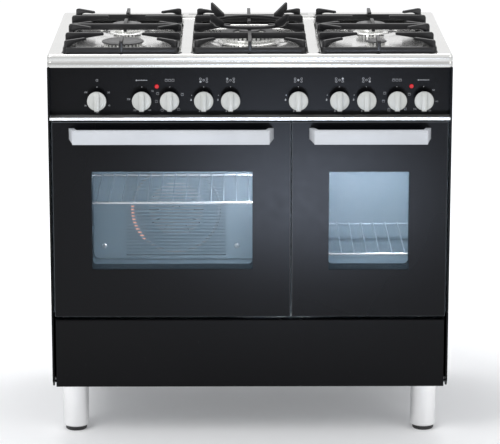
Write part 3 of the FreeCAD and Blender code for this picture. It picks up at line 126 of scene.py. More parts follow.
def addBox(bm, low, high, bevel, segments):
    low, high = Vector(low), Vector(high)
    made = bmesh.ops.create_cube(bm, size=1.0)["verts"]
    bmesh.ops.scale(bm, verts=made, vec=high - low)
    bmesh.ops.translate(bm, verts=made, vec=(low + high) / 2)
    bevelEdges(bm, edgesOf(made), bevel, segments)


def addPlate(bm, outline, thickness, matrix, bevel=0.0):
    # outline in the matrix's own XY plane, thickened evenly about it
    verts = [bm.verts.new((u, v, -thickness / 2)) for u, v in outline]
    face = bm.faces.new(verts)
    grown = bmesh.ops.extrude_face_region(bm, geom=[face])["geom"]
    top = [item for item in grown if isinstance(item, bmesh.types.BMVert)]
    bmesh.ops.translate(bm, verts=top, vec=(0, 0, thickness))
    everyVert = verts + top
    edges = edgesOf(everyVert)
    turnOutward(bm, everyVert)
    before = set(bm.verts) - set(everyVert)
    bevelEdges(bm, edges, bevel)
    bmesh.ops.transform(bm, matrix=matrix, verts=newSince(bm.verts, before))


def addTurned(bm, profile, matrix, steps):
    # profile of (radius, height) pairs turned about the matrix's own Z axis
    verts = [bm.verts.new((radius, 0, height)) for radius, height in profile]
    edges = [bm.edges.new(pair) for pair in zip(verts, verts[1:])]
    before = set(bm.verts) - set(verts)
    bmesh.ops.spin(bm, geom=verts + edges, cent=(0, 0, 0), axis=(0, 0, 1), dvec=(0, 0, 0),
                   angle=math.tau, steps=steps, use_merge=True, use_duplicate=False)
    bmesh.ops.remove_doubles(bm, verts=newSince(bm.verts, before), dist=1e-6)
    made = newSince(bm.verts, before)
    turnOutward(bm, made)
    bmesh.ops.transform(bm, matrix=matrix, verts=made)


def addRod(bm, start, end, radius, steps):
    start, end = Vector(start), Vector(end)
    direction = end - start
    turn = direction.to_track_quat("Z", "Y").to_matrix().to_4x4()
    matrix = Matrix.Translation((start + end) / 2) @ turn
    bmesh.ops.create_cone(bm, cap_ends=True, cap_tris=False, segments=steps, radius1=radius,
                          radius2=radius, depth=direction.length, matrix=matrix)


def addBall(bm, centre, radius, steps):
    bmesh.ops.create_uvsphere(bm, u_segments=steps, v_segments=max(steps // 2, 4), radius=radius,
                              matrix=Matrix.Translation(centre))


def makePiece(name, bm, finishes, body, standsFor=(), sharpAngle=32):
    mesh = bpy.data.meshes.new(name)
    bm.to_mesh(mesh)
    bm.free()
    for look in finishes:
        mesh.materials.append(materials[look])
    mesh.polygons.foreach_set("use_smooth", [True] * len(mesh.polygons))
    mesh.set_sharp_from_angle(angle=math.radians(sharpAngle))
    piece = bpy.data.objects.new(name, mesh)
    bpy.context.scene.collection.objects.link(piece)
    if body == "stage":
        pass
    else:
        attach(piece, body)
    if standsFor:
        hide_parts(*standsFor)
    return piece


def facing(centre, axis):
    # places a turned profile so that its Z axis points to the front, up or back
    turns = {
        "up": Matrix.Identity(4),
        "front": Matrix.Rotation(math.pi / 2, 4, "X"),
        "back": Matrix.Rotation(-math.pi / 2, 4, "X"),
    }
    return Matrix.Translation(centre) @ turns[axis]


# Shared effects

def setInputs(node, values):
    for label, value in values.items():
        node.inputs[label].default_value = value


def addNode(nodes, kind, values=None, operation=None):
    node = nodes.new(f"ShaderNode{kind}")
    setInputs(node, values or {})
    if operation:
        node.operation = operation
    return node


def placeGroup(nodes, group, values):
    node = nodes.new("ShaderNodeGroup")
    node.node_tree = group
    setInputs(node, values)
    return node


def joinNodes(links, *wires):
    # each wire is a node, its output, the next node and its input
    for giver, output, taker, entry in wires:
        links.new(giver.outputs[output], taker.inputs[entry])


def newGroup(name, inputs, outputs):
    group = bpy.data.node_groups.new(name, "ShaderNodeTree")
    for label, kind, value in inputs:
        socket = group.interface.new_socket(name=label, in_out="INPUT", socket_type=kind)
        socket.default_value = value
    for label, kind in outputs:
        group.interface.new_socket(name=label, in_out="OUTPUT", socket_type=kind)
    return group, group.nodes.new("NodeGroupInput"), group.nodes.new("NodeGroupOutput")


def makeGrainGroup():
    # fine streaks when the stretch is uneven, fine speckle when it is even
    group, given, result = newGroup(
        "fineGrain",
        [("Stretch", "NodeSocketVector", (1, 1, 1)), ("Detail", "NodeSocketFloat", 4.0)],
        [("Value", "NodeSocketFloat")],
    )
    nodes = group.nodes
    place = addNode(nodes, "TexCoord")
    scaled = addNode(nodes, "VectorMath", operation="MULTIPLY")
    noise = addNode(nodes, "TexNoise", {"Scale": 1.0, "Roughness": 0.6})
    joinNodes(group.links, (place, "Object", scaled, 0), (given, "Stretch", scaled, 1),
              (scaled, "Vector", noise, "Vector"), (given, "Detail", noise, "Detail"),
              (noise, "Fac", result, "Value"))
    return group


def makePatchGroup():
    # broad, soft patches that shift a colour a little
    group, given, result = newGroup(
        "softPatches",
        [("Scale", "NodeSocketFloat", 7.0)],
        [("Value", "NodeSocketFloat")],
    )
    nodes = group.nodes
    place = addNode(nodes, "TexCoord")
    noise = addNode(nodes, "TexNoise", {"Detail": 3.0})
    spread = addNode(nodes, "MapRange", {"From Min": 0.3, "From Max": 0.7})
    spread.interpolation_type = "SMOOTHSTEP"
    joinNodes(group.links, (place, "Object", noise, "Vector"), (given, "Scale", noise, "Scale"),
              (noise, "Fac", spread, "Value"), (spread, "Result", result, "Value"))
    return group


grainGroup = makeGrainGroup()
patchGroup = makePatchGroup()


def makeMaterial(name, base, second, rough, metallic=0.0, specular=0.5, alpha=1.0, glow=(1, 1, 1),
                 glowStrength=0.0, grain=300, grainDetail=3.0, bump=0.0, patchScale=7.0):
    # the colour drifts from base to second in soft patches, the gloss follows the grain
    material = bpy.data.materials.new(name)
    material.use_nodes = True
    nodes, links = material.node_tree.nodes, material.node_tree.links
    shader = nodes["Principled BSDF"]
    setInputs(shader, {"Metallic": metallic, "Specular IOR Level": specular, "Alpha": alpha,
                       "Emission Color": (*glow, 1), "Emission Strength": glowStrength})
    patches = placeGroup(nodes, patchGroup, {"Scale": patchScale})
    blend = nodes.new("ShaderNodeMix")
    blend.data_type = "RGBA"
    setInputs(blend, {"A": (*base, 1), "B": (*second, 1)})
    stretch = grain if isinstance(grain, tuple) else (grain, grain, grain)
    streaks = placeGroup(nodes, grainGroup, {"Stretch": stretch, "Detail": grainDetail})
    gloss = addNode(nodes, "MapRange", {"From Min": 0.25, "From Max": 0.75,
                                        "To Min": rough[0], "To Max": rough[1]})
    joinNodes(links, (patches, "Value", blend, "Factor"), (blend, "Result", shader, "Base Color"),
              (streaks, "Value", gloss, "Value"), (gloss, "Result", shader, "Roughness"))
    if bump > 0:
        relief = addNode(nodes, "Bump", {"Strength": 1.0, "Distance": bump})
        joinNodes(links, (streaks, "Value", relief, "Height"), (relief, "Normal", shader, "Normal"))
    return material


looks = {
    "blackEnamel": dict(base=(0.0022, 0.0023, 0.0029), second=(0.0028, 0.0029, 0.0036), rough=(0.20, 0.28),
                        grain=90, bump=0.00004, patchScale=3.0, specular=0.09),
    "blackGlass": dict(base=(0.0020, 0.0022, 0.0030), second=(0.0025, 0.0027, 0.0036), rough=(0.19, 0.23),
                       grain=40, patchScale=2.0, specular=0.10),
    # lighter grey for the glass edges: the glass's own edge colour with a painted highlight along the door
    # edges
    "glassEdge": dict(base=(0.10, 0.11, 0.12), second=(0.07, 0.08, 0.09), rough=(0.12, 0.2),
                      patchScale=30.0),
    "ceramic": dict(base=(0.72, 0.71, 0.68), second=(0.62, 0.61, 0.58), rough=(0.25, 0.35), grain=700,
                    patchScale=120.0),
    "windowGlass": dict(base=(0.16, 0.24, 0.32), second=(0.18, 0.27, 0.35), rough=(0.10, 0.14), grain=20,
                        patchScale=2.0, alpha=0.07, specular=0.10),
    "innerGlass": dict(base=(0.45, 0.56, 0.62), second=(0.50, 0.60, 0.66), rough=(0.03, 0.06), grain=20,
                       patchScale=2.0, alpha=0.06),
    "hobSteel": dict(base=(0.72, 0.72, 0.71), second=(0.69, 0.69, 0.68), rough=(0.125, 0.135), metallic=1.0,
                     grain=(6, 120, 120), grainDetail=0.0, patchScale=9.0),
    # darker, rougher copy of the hob steel for the upright skirt faces; the darkening is painted shade
    "skirtSteel": dict(base=(0.47, 0.47, 0.46), second=(0.44, 0.44, 0.43), rough=(0.16, 0.22), metallic=1.0,
                       grain=(4, 300, 300), grainDetail=1.0, patchScale=3.0),
    "trimSteel": dict(base=(0.63, 0.63, 0.61), second=(0.59, 0.59, 0.57), rough=(0.28, 0.36), metallic=0.78,
                      grain=(10, 500, 500), bump=0.000004, patchScale=6.0),
    "satinAlloy": dict(base=(0.57, 0.59, 0.62), second=(0.53, 0.55, 0.58), rough=(0.34, 0.46),
                       grain=(24, 900, 900), bump=0.00003, patchScale=10.0, specular=0.25),
    "knobAlloy": dict(base=(0.54, 0.55, 0.53), second=(0.50, 0.51, 0.49), rough=(0.30, 0.40),
                      grain=(1300, 1300, 60), bump=0.00003, patchScale=25.0, specular=0.30),
    "legSteel": dict(base=(0.88, 0.88, 0.88), second=(0.84, 0.84, 0.84), rough=(0.30, 0.36), metallic=0.8,
                     grain=(500, 500, 12), bump=0.000003, patchScale=10.0),
    "castIron": dict(base=(0.007, 0.007, 0.008), second=(0.012, 0.012, 0.013), rough=(0.30, 0.42), grain=900,
                     grainDetail=5.0, bump=0.00012, patchScale=30.0, specular=0.32),
    "capEnamel": dict(base=(0.040, 0.040, 0.041), second=(0.056, 0.056, 0.057), rough=(0.26, 0.36),
                      grain=500, bump=0.00006, patchScale=30.0, specular=0.30),
    "burnerAlloy": dict(base=(0.90, 0.90, 0.88), second=(0.82, 0.82, 0.80), rough=(0.22, 0.34), metallic=0.7,
                        grain=400, bump=0.00005, patchScale=40.0),
    "ovenEnamel": dict(base=(0.21, 0.28, 0.33), second=(0.24, 0.31, 0.36), rough=(0.30, 0.38), grain=500,
                       patchScale=12.0),
    "galvanised": dict(base=(0.56, 0.57, 0.58), second=(0.45, 0.46, 0.47), rough=(0.34, 0.52), metallic=0.9,
                       grain=60, patchScale=45.0),
    "springSteel": dict(base=(0.50, 0.50, 0.50), second=(0.42, 0.42, 0.42), rough=(0.35, 0.48), metallic=1.0,
                        patchScale=20.0),
    "shelfWire": dict(base=(0.92, 0.93, 0.94), second=(0.86, 0.87, 0.88), rough=(0.20, 0.28), metallic=0.65,
                      grain=400, patchScale=20.0),
    # darker bluish copy of the shelf chrome for the wires: painted shade with a painted reflection of the
    # enamel walls
    "thinWire": dict(base=(0.28, 0.34, 0.39), second=(0.25, 0.31, 0.36), rough=(0.34, 0.44), metallic=0.4,
                     grain=400, patchScale=20.0),
    "blackPlastic": dict(base=(0.012, 0.012, 0.013), second=(0.016, 0.016, 0.017), rough=(0.34, 0.46),
                         grain=900, bump=0.00005, patchScale=12.0),
    "sealRubber": dict(base=(0.020, 0.020, 0.021), second=(0.030, 0.030, 0.031), rough=(0.6, 0.75),
                       grain=1500, bump=0.0002, patchScale=12.0),
    "elementSteel": dict(base=(0.34, 0.33, 0.33), second=(0.42, 0.40, 0.38), rough=(0.4, 0.55), metallic=0.4,
                         grain=400, patchScale=30.0),
    "tapBrass": dict(base=(0.72, 0.55, 0.28), second=(0.62, 0.46, 0.22), rough=(0.25, 0.4), metallic=1.0,
                     patchScale=30.0),
    "redLens": dict(base=(0.58, 0.008, 0.014), second=(0.66, 0.012, 0.020), rough=(0.08, 0.14),
                    patchScale=60.0, glow=(1.0, 0.02, 0.03), glowStrength=0.12),
    "lampGlass": dict(base=(0.92, 0.94, 0.96), second=(0.86, 0.88, 0.90), rough=(0.1, 0.2), patchScale=60.0,
                      glow=(0.85, 0.92, 1.0), glowStrength=2.0),
    "whitePrint": dict(base=(0.42, 0.43, 0.45), second=(0.36, 0.37, 0.39), rough=(0.4, 0.5), grain=800,
                       patchScale=60.0),
    "glowCoil": dict(base=(0.35, 0.14, 0.08), second=(0.45, 0.18, 0.10), rough=(0.4, 0.5), grain=400,
                     patchScale=40.0, glow=(1.0, 0.45, 0.30), glowStrength=0.9),
}
materials = {name: makeMaterial(name, **look) for name, look in looks.items()}
print("materials made")


# Materials of the pieces that stay as the frame has them

# each look with its nodes, by whole name or by its start
nodesOfLook = {
    "blackEnamel": "side_panel_ control_panel storage_flap main_door_panel second_door_panel",
    "galvanised": "back_panel base_tray storage_box fan_motor",
    "legSteel": "legs",
    "ovenEnamel": "main_liner second_liner fan_baffle",
    "sealRubber": "door_seals",
    "springSteel": "door_hinges oven_fan",
    "elementSteel": "heating_elements",
    "lampGlass": "oven_lamps",
    "blackGlass": "main_door_glass second_door_glass",
    "innerGlass": "main_inner_glass second_inner_glass",
    "satinAlloy": "main_handle second_handle",
    "trimSteel": "fascia_trim",
    "redLens": "indicator_lamps",
    "tapBrass": "gas_rail spindle_",
    "blackPlastic": "oven_switches terminal_box foot_",
    "hobSteel": "hob_top rear_vent",
    "burnerAlloy": "burner_cups burner_heads",
    "capEnamel": "burner_caps",
    "castIron": "pan_support_ wok_cradle",
    "shelfWire": "main_shelf second_shelf",
    "knobAlloy": "knob_",
}
for look, starts in nodesOfLook.items():
    for node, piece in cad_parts.items():
        if node.startswith(tuple(starts.split())):
            piece.data.materials.clear()
            piece.data.materials.append(materials[look])


# Door glass: a black printed border round a clear window

# windows: left, right, bottom and top
doorGlass = {
    "corner": 0.002,
    "edge": 0.0009,
    "windowCorner": 0.0015,
    "mainWindow": (-0.3555, 0.0060, 0.4090, 0.6345),
    "secondWindow": (0.1770, 0.3580, 0.4075, 0.6335),
}


def makeDoorGlass(node, window, body):
    low, high = lowHigh(node)
    centre, half = middleAndHalf(low.x, high.x, low.z, high.z)
    winCentre, winHalf = middleAndHalf(*window)
    edge = doorGlass["edge"]
    bm = bmesh.new()
    outer = []
    for inset, y in ((edge, low.y), (0, low.y + edge), (0, high.y - edge), (edge, high.y)):
        size = (half[0] - inset, half[1] - inset)
        outer.append(roundedLoop(bm, centre, size, doorGlass["corner"], y, "XZ"))
    # the edge faces take the lighter grey: glass edge colour with a painted highlight
    for face in bridgeInTurn(bm, outer):
        face.material_index = 2
    for y, rim in ((low.y, outer[0]), (high.y, outer[-1])):
        inner = roundedLoop(bm, winCentre, winHalf, doorGlass["windowCorner"], y, "XZ")
        for far, near in zip(rim, inner):
            border = bm.faces.new((far.verts[0], far.verts[1], near.verts[1], near.verts[0]))
            border.material_index = 0
        for face in bmesh.ops.edgeloop_fill(bm, edges=inner)["faces"]:
            face.material_index = 1
    bmesh.ops.recalc_face_normals(bm, faces=bm.faces)
    finishes = ["blackGlass", "windowGlass", "glassEdge"]
    return makePiece(f"{body}Glass", bm, finishes, body, [node])


makeDoorGlass("main_door_glass", doorGlass["mainWindow"], "main_door")
makeDoorGlass("second_door_glass", doorGlass["secondWindow"], "second_door")
print("door glass made")


# Handles: a bar with a bevelled top on two feet that flare out to the glass

handleShape = {
    "barDepth": 0.014,
    "topBevel": 0.007,
    "frontBevel": 0.0052,
    "flare": 0.010,
    "footWidth": 0.012,
    "footHeight": 0.025,
    "round": 0.0006,
}
sideways = Matrix(((0, 0, 1, 0), (1, 0, 0, 0), (0, 1, 0, 0), (0, 0, 0, 1)))  # plate X to Y, Y to Z, Z to X


def makeHandle(node, body):
    low, high = lowHigh(node)
    flare = handleShape["flare"]
    front, back = low.y, low.y + handleShape["barDepth"]
    barLow, barHigh = low.x + flare, high.x - flare
    outline = [
        (front, low.z), (back, low.z), (back, high.z),
        (front + handleShape["topBevel"], high.z), (front, high.z - handleShape["frontBevel"]),
    ]
    bm = bmesh.new()
    place = Matrix.Translation(((barLow + barHigh) / 2, 0, 0)) @ sideways
    addPlate(bm, outline, barHigh - barLow, place, handleShape["round"])
    middle = (low.z + high.z) / 2
    halfFoot = handleShape["footHeight"] / 2
    for inner, outward in ((barLow, -1), (barHigh, 1)):
        before = set(bm.verts)
        made = bmesh.ops.create_cube(bm, size=2.0)["verts"]
        for vert in made:
            side, depth, level = vert.co.x * outward, vert.co.y, vert.co.z
            if depth < 0:
                x = inner if side > 0 else inner - outward * handleShape["footWidth"]
                z = high.z if level > 0 else low.z
                y = front + handleShape["topBevel"]
            else:
                x = inner + outward * flare
                x = x if side > 0 else x - outward * handleShape["footWidth"]
                z = middle + halfFoot * level
                y = high.y
            vert.co = (x, y, z)
        bevelEdges(bm, edgesOf(made), handleShape["round"])
        turnOutward(bm, newSince(bm.verts, before))
    makePiece(f"{body}Handle", bm, ["satinAlloy"], body, [node])


makeHandle("main_handle", "main_door")
makeHandle("second_handle", "second_door")
print("handles made")


# Knobs: a satin cap with a raised grip on a black collar

knobShape = {
    "radius": 0.0215,
    "steps": 64,
    "soft": 0.0006,
    "collar": 0.014,
    "collarLip": 0.002,
    "collarWall": 0.004,
    "collarSteps": 48,
    "backGap": 0.0043,
    "discStart": 0.021,
    "discEnd": 0.027,
    "edge": 0.0016,
    "gripHalf": 0.0054,
    "gripLow": -0.023,
    "gripHigh": 0.0203,
    "gripTop": 0.0320,
    "gripSink": 0.003,
    "noseBevel": 0.0040,
    "noseSlope": 0.0085,
    "tailBevel": 0.003,
    "gripBevel": 0.0007,
}
knobZ = middleOf("spindle_wok").z
knobNodes = [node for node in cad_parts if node.startswith("knob_")]


def makeKnob(node, body):
    shape = knobShape
    radius, edge, soft, collar = shape["radius"], shape["edge"], shape["soft"], shape["collar"]
    start, end, back = shape["discStart"], shape["discEnd"], shape["backGap"]
    place = facing(Vector((middleOf(node).x, panelY, knobZ)), "front")
    bm = bmesh.new()
    addTurned(bm, [
        (collar - shape["collarLip"], start + soft), (radius - edge, start),
        (radius - edge * 0.3, start + edge * 0.3), (radius, start + edge), (radius, end - edge),
        (radius - edge * 0.3, end - edge * 0.3), (radius - edge, end), (radius * 0.55, end + 0.0004),
        (0, end + soft),
    ], place, shape["steps"])
    tail, nose, top = shape["gripLow"], shape["gripHigh"], shape["gripTop"]
    step = end - shape["gripSink"]
    grip = [
        (tail, step), (nose, step), (nose, end + 0.0008), (nose - shape["noseBevel"], top - 0.0022),
        (nose - shape["noseSlope"], top), (tail + shape["tailBevel"], top), (tail, top - 0.0025),
    ]
    addPlate(bm, grip, shape["gripHalf"] * 2, place @ sideways, shape["gripBevel"])
    before = set(bm.faces)
    addTurned(bm, [
        (collar - shape["collarWall"], back), (collar - soft, back), (collar, back + soft),
        (collar, start - 0.001), (collar - shape["collarLip"], start + soft),
    ], place, shape["collarSteps"])
    for face in newSince(bm.faces, before):
        face.material_index = 1
    name = node.replace("knob_", "").title().replace("_", "")
    makePiece(f"knob{name}", bm, ["knobAlloy", "blackPlastic"], body, [node], sharpAngle=28)


for node in knobNodes:
    makeKnob(node, node.replace("knob_", "dial_"))
print("knobs made")


# Printed marks: a tick over each knob, burner places, flames, numbers and plain symbols

markShape = {
    "proud": 0.0002,
    "steps": 20,
    "tick": [(-0.0013, 0.0012), (0, -0.0012), (0.0013, 0.0012)],
    "tickRise": 0.0275,
    "iconRise": 0.0430,
    "ovenPitch": 0.0075,
    "numberRing": 0.0300,
    "numberSize": 0.00504,
    "burnerPitch": (0.0072, 0.0032),
    "burnerHoop": (0.0024, 0.0007),
    "burnerDot": 0.0018,
    "flameRing": 0.0285,
    "flames": [(182, 0.0060), (250, 0.0042)],
    "offAngle": 162,
    "offDot": 0.0010,
    "offSteps": 12,
    "clockHoop": (0.0028, 0.0006),
    "bulb": 0.0016,
    "bulbLeft": 0.0120,
}
# flame of height 1
flameOutline = [(0, 0.5), (0.22, 0.12), (0.30, -0.18), (0.18, -0.44), (0, -0.5), (-0.18, -0.44),
                (-0.30, -0.18), (-0.16, 0.05), (-0.06, 0.16)]
# symbols as strokes: start, end and width
symbolStrokes = {
    "clock": [((0, 0), (0, 0.0018), 0.00055), ((0, 0), (0.0014, 0), 0.00055)],
    "thermometer": [((-0.0120, 0), (0.0125, 0), 0.0011)]
    + [((x, 0.0009), (x, 0.0019), 0.0004) for x in (-0.008, -0.0044, -0.0008, 0.0028, 0.0064, 0.0100)],
    "oven": [((-0.0026, -0.0026), (0.0026, -0.0026), 0.0005), ((0.0026, -0.0026), (0.0026, 0.0026), 0.0005),
             ((0.0026, 0.0026), (-0.0026, 0.0026), 0.0005), ((-0.0026, 0.0026), (-0.0026, -0.0026), 0.0005),
             ((-0.00156, 0.0013), (0.00156, 0.0013), 0.0005)],
}
burnerSpots = {"front_left": (-1, -1), "rear_left": (-1, 1), "wok": (0, 0), "rear_right": (1, 1),
               "front_right": (1, -1)}
# angle and number
dialNumbers = {
    "timer": [(148, "100"), (209, "80"), (270, "60"), (332, "40"), (31, "20")],
    "main_temperature": [(38, "50"), (304, "100"), (237, "150"), (180, "200")],
    "second_temperature": [(42, "50"), (349, "100"), (297, "150"), (231, "200")],
}
functionAngles = [154, 189, 235, 311, 21]


def onPanel(centre):
    # plate X to the right and plate Y up, lying on the panel
    place = Matrix.Translation((centre[0], panelY - markShape["proud"] / 2, centre[1]))
    return place @ Matrix.Rotation(math.pi / 2, 4, "X")


def addFlat(bm, outline, centre):
    addPlate(bm, outline, markShape["proud"], onPanel(centre))


def addDot(bm, centre, radius, steps):
    turns = [math.tau * k / steps for k in range(steps)]
    addFlat(bm, [(radius * math.cos(turn), radius * math.sin(turn)) for turn in turns], centre)


def addHoop(bm, centre, radius, width):
    proud = markShape["proud"]
    addTurned(bm, [(radius - width, 0), (radius - width, proud), (radius, proud), (radius, 0)],
              facing((centre[0], panelY, centre[1]), "front"), markShape["steps"])


def addNumber(bm, text, centre):
    curve = bpy.data.curves.new("digits", "FONT")
    curve.body = text
    curve.size = markShape["numberSize"]
    curve.align_x = "CENTER"
    curve.align_y = "CENTER"
    curve.extrude = markShape["proud"] / 2
    curve.resolution_u = 3
    holder = bpy.data.objects.new("digits", curve)
    mesh = bpy.data.meshes.new_from_object(holder)
    mesh.transform(onPanel(centre))
    bm.from_mesh(mesh)
    bpy.data.objects.remove(holder)
    bpy.data.curves.remove(curve)
    bpy.data.meshes.remove(mesh)


def addSymbol(bm, kind, centre):
    middle = Vector(centre)
    if kind == "clock":
        addHoop(bm, centre, *markShape["clockHoop"])
    if kind == "thermometer":
        addDot(bm, middle - Vector((markShape["bulbLeft"], 0)), markShape["bulb"], markShape["steps"])
    for start, end, width in symbolStrokes[kind]:
        run = Vector(end) - Vector(start)
        side = Vector((-run.y, run.x)).normalized() * width / 2
        corners = [Vector(start) - side, Vector(end) - side, Vector(end) + side, Vector(start) + side]
        addFlat(bm, [tuple(middle + corner) for corner in corners], (0, 0))


def spotOn(x, angle, radius):
    turn = math.radians(angle)
    return (x + radius * math.cos(turn), knobZ + radius * math.sin(turn))


def makeMarks():
    shape = markShape
    bm = bmesh.new()
    for node in knobNodes:
        name = node.replace("knob_", "")
        x = middleOf(node).x
        addFlat(bm, shape["tick"], (x, knobZ + shape["tickRise"]))
        rise = knobZ + shape["iconRise"]
        if name in burnerSpots:
            for across, along in ((-1, -1), (-1, 1), (1, -1), (1, 1), (0, 0)):
                spot = (x + across * shape["burnerPitch"][0], rise + along * shape["burnerPitch"][1])
                addHoop(bm, spot, *shape["burnerHoop"])
                if (across, along) == burnerSpots[name]:
                    addDot(bm, spot, shape["burnerDot"], shape["steps"])
            off = spotOn(x, shape["offAngle"], shape["flameRing"])
            addDot(bm, off, shape["offDot"], shape["offSteps"])
            for angle, size in shape["flames"]:
                flame = [(u * size, v * size) for u, v in flameOutline]
                addFlat(bm, flame, spotOn(x, angle, shape["flameRing"]))
        elif name in dialNumbers:
            for angle, text in dialNumbers[name]:
                addNumber(bm, text, spotOn(x, angle, shape["numberRing"]))
            addSymbol(bm, "clock" if name == "timer" else "thermometer", (x, rise))
        else:
            for angle in functionAngles:
                addSymbol(bm, "oven", spotOn(x, angle, shape["numberRing"]))
            for k in (-1, 0, 1):
                addSymbol(bm, "oven", (x + k * shape["ovenPitch"], rise))
    makePiece("panelMarks", bm, ["whitePrint"], "cooker")


makeMarks()
print("marks made")


# Hob: pressed steel with three soft-walled wells, rolled rim and grooved skirt

hobShape = {
    "gridInset": 0.008,
    "cell": 0.004,
    "roll": 0.006,
    "rollSteps": 6,
    "corner": 0.009,
    "leastCorner": 0.002,
    "cornerSteps": 8,
    "grooveDrop": 0.0150,
    "grooveHeight": 0.0016,
    "grooveDeep": 0.0009,
    "grooveSoft": 0.0006,
    "grooveRound": 0.0004,
    "lipRound": 0.0012,
    "returnLip": 0.010,
    "skirtFrom": 1.05,
    "skirtTilt": 0.5,
    "wellPitch": 0.2865,
    "sideWell": 0.1305,
    "centreWell": 0.1280,
    "wellFront": 0.014,
    "wellLength": 0.476,
    "wellDepth": 0.012,
    "wellSpread": 0.002,
    "wellWall": 0.011,
    "wellCorner": 0.015,
    "floorFrom": 0.9,
    "collarRise": 0.0017,
    "collarOffset": 0.019,
    "collarWidth": 0.008,
}
wellX, sideWell, centreWell = hobShape["wellPitch"], hobShape["sideWell"], hobShape["centreWell"]
wells = [(-wellX, sideWell), (0.0, centreWell), (wellX, sideWell)]  # middle and half width of each well
rowFront, rowBack = frontY + 0.130, frontY + 0.374
rowMiddle = (rowFront + rowBack) / 2
# middle, radius of the cap and number of flame slots
burnerSizes = {
    "front_left": (-wellX, rowFront, 0.0475, 28),
    "rear_left": (-wellX, rowBack, 0.0340, 20),
    "wok": (0.0, rowMiddle, 0.0650, 36),
    "rear_right": (wellX, rowBack, 0.0340, 20),
    "front_right": (wellX, rowFront, 0.0235, 14),
}
wellFloor = rimZ - hobShape["wellDepth"]


def softStep(share):
    share = min(max(share, 0.0), 1.0)
    return share * share * (3 - 2 * share)


def hobHeight(x, y):
    shape = hobShape
    wellMiddle = frontY + shape["wellFront"] + shape["wellLength"] / 2
    depth = 0.0
    for middle, half in wells:
        corner = shape["wellCorner"]
        overX = abs(x - middle) - (half + shape["wellSpread"] - corner)
        overY = abs(y - wellMiddle) - (shape["wellLength"] / 2 + shape["wellSpread"] - corner)
        outside = math.hypot(max(overX, 0), max(overY, 0)) + min(max(overX, overY), 0) - corner
        depth = max(depth, softStep(-outside / shape["wellWall"]))
    rise = 0.0
    if depth > shape["floorFrom"]:
        for spotX, spotY, cap, _ in burnerSizes.values():
            away = math.hypot(x - spotX, y - spotY) - cap - shape["collarOffset"]
            rise += shape["collarRise"] * math.exp(-(away / shape["collarWidth"]) ** 2)
    return rimZ - depth * shape["wellDepth"] + rise * depth


def makeHob():
    shape = hobShape
    inset = shape["gridInset"]
    centre, half = middleAndHalf(hobLow.x, hobHigh.x, hobLow.y, hobHigh.y)
    spanX, spanY = (half[0] - inset) * 2, (half[1] - inset) * 2
    bm = bmesh.new()
    cells = round(spanX / shape["cell"]), round(spanY / shape["cell"])
    bmesh.ops.create_grid(bm, x_segments=cells[0], y_segments=cells[1], size=0.5)
    bmesh.ops.scale(bm, verts=bm.verts, vec=(spanX, spanY, 1))
    bmesh.ops.translate(bm, verts=bm.verts, vec=(*centre, 0))
    for vert in bm.verts:
        vert.co.z = hobHeight(vert.co.x, vert.co.y)
    border = [edge for edge in bm.edges if edge.is_boundary]
    roll = shape["roll"]
    profile = []
    for step in range(shape["rollSteps"] + 1):
        turn = math.pi / 2 * step / shape["rollSteps"]
        profile.append((roll - roll * math.sin(turn), rimZ - roll + roll * math.cos(turn)))
    grooveTop = rimZ - shape["grooveDrop"]
    grooveLow = grooveTop - shape["grooveHeight"]
    deep, soft, tight, lip = shape["grooveDeep"], shape["grooveSoft"], shape["grooveRound"], shape["lipRound"]
    profile += [
        (0, grooveTop + soft), (deep * 0.4, grooveTop), (deep, grooveTop - tight),
        (deep, grooveLow + tight), (deep * 0.4, grooveLow), (0, grooveLow - soft),
        (0, hobLow.z + lip), (lip / 3, hobLow.z + lip / 3), (lip, hobLow.z), (shape["returnLip"], hobLow.z),
    ]
    loops = []
    for step, height in profile:
        size = (half[0] - step, half[1] - step)
        corner = max(shape["corner"] - step, shape["leastCorner"])
        loops.append(roundedLoop(bm, centre, size, corner, height, "XY", shape["cornerSteps"]))
    bridgeInTurn(bm, [border] + loops)
    bmesh.ops.recalc_face_normals(bm, faces=bm.faces)
    if max(bm.faces, key=lambda face: face.calc_center_median().z).normal.z < 0:
        bmesh.ops.reverse_faces(bm, faces=bm.faces)
    bm.normal_update()
    skirtTop = rimZ - roll * shape["skirtFrom"]
    # the upright faces of the skirt take the darker copy of the same steel: painted shade
    for face in bm.faces:
        isShadedSkirt = face.calc_center_median().z < skirtTop and abs(face.normal.z) < shape["skirtTilt"]
        face.material_index = int(isShadedSkirt)
    finishes = ["hobSteel", "skirtSteel"]
    makePiece("hobPressing", bm, finishes, "cooker", ["hob_top"], sharpAngle=40)


makeHob()
print("hob made")


# Burners: cups, toothed crowns with a dark band of painted shade behind the teeth, caps and spark pins

burnerShape = {
    "ringSteps": 96,
    "cupSteps": 72,
    "pinSteps": 20,
    "cupDrop": 0.030,
    "cupInset": 0.010,
    "cupLap": 0.007,
    "flange": 0.003,
    "headHeight": 0.015,
    "headInset": 0.004,
    "slotHeight": 0.0080,
    "slotDeep": 0.0045,
    "slotWidth": 0.0040,
    "capHeight": 0.0045,
    "middleCap": 0.024,
    "middleTeeth": 16,
    "middleSlotLow": 0.008,
    "hollowReach": 0.012,
    "hollowFloor": 0.005,
    "postInset": 0.003,
    # gap between the crown wall and the band of painted shade behind the flame slots
    "sootGap": 0.0003,
    "pinRadius": 0.0022,
    "pinHeight": 0.014,
    "pinGap": 0.001,
    "probeBase": 0.0026,
    "probeRadius": 0.0016,
    "diagonal": 0.707,
}


def addTeeth(bm, centre, radius, count, low, high):
    # short ribs round a crown, with flame slots between them
    depth = burnerShape["slotDeep"]
    width = math.tau * radius / count - burnerShape["slotWidth"]
    for k in range(count):
        turn = Matrix.Rotation(math.tau * k / count, 4, "Z")
        before = set(bm.verts)
        addBox(bm, (radius - depth, -width / 2, low), (radius, width / 2, high), 0.0004, 1)
        bmesh.ops.transform(bm, matrix=Matrix.Translation(centre) @ turn, verts=newSince(bm.verts, before))


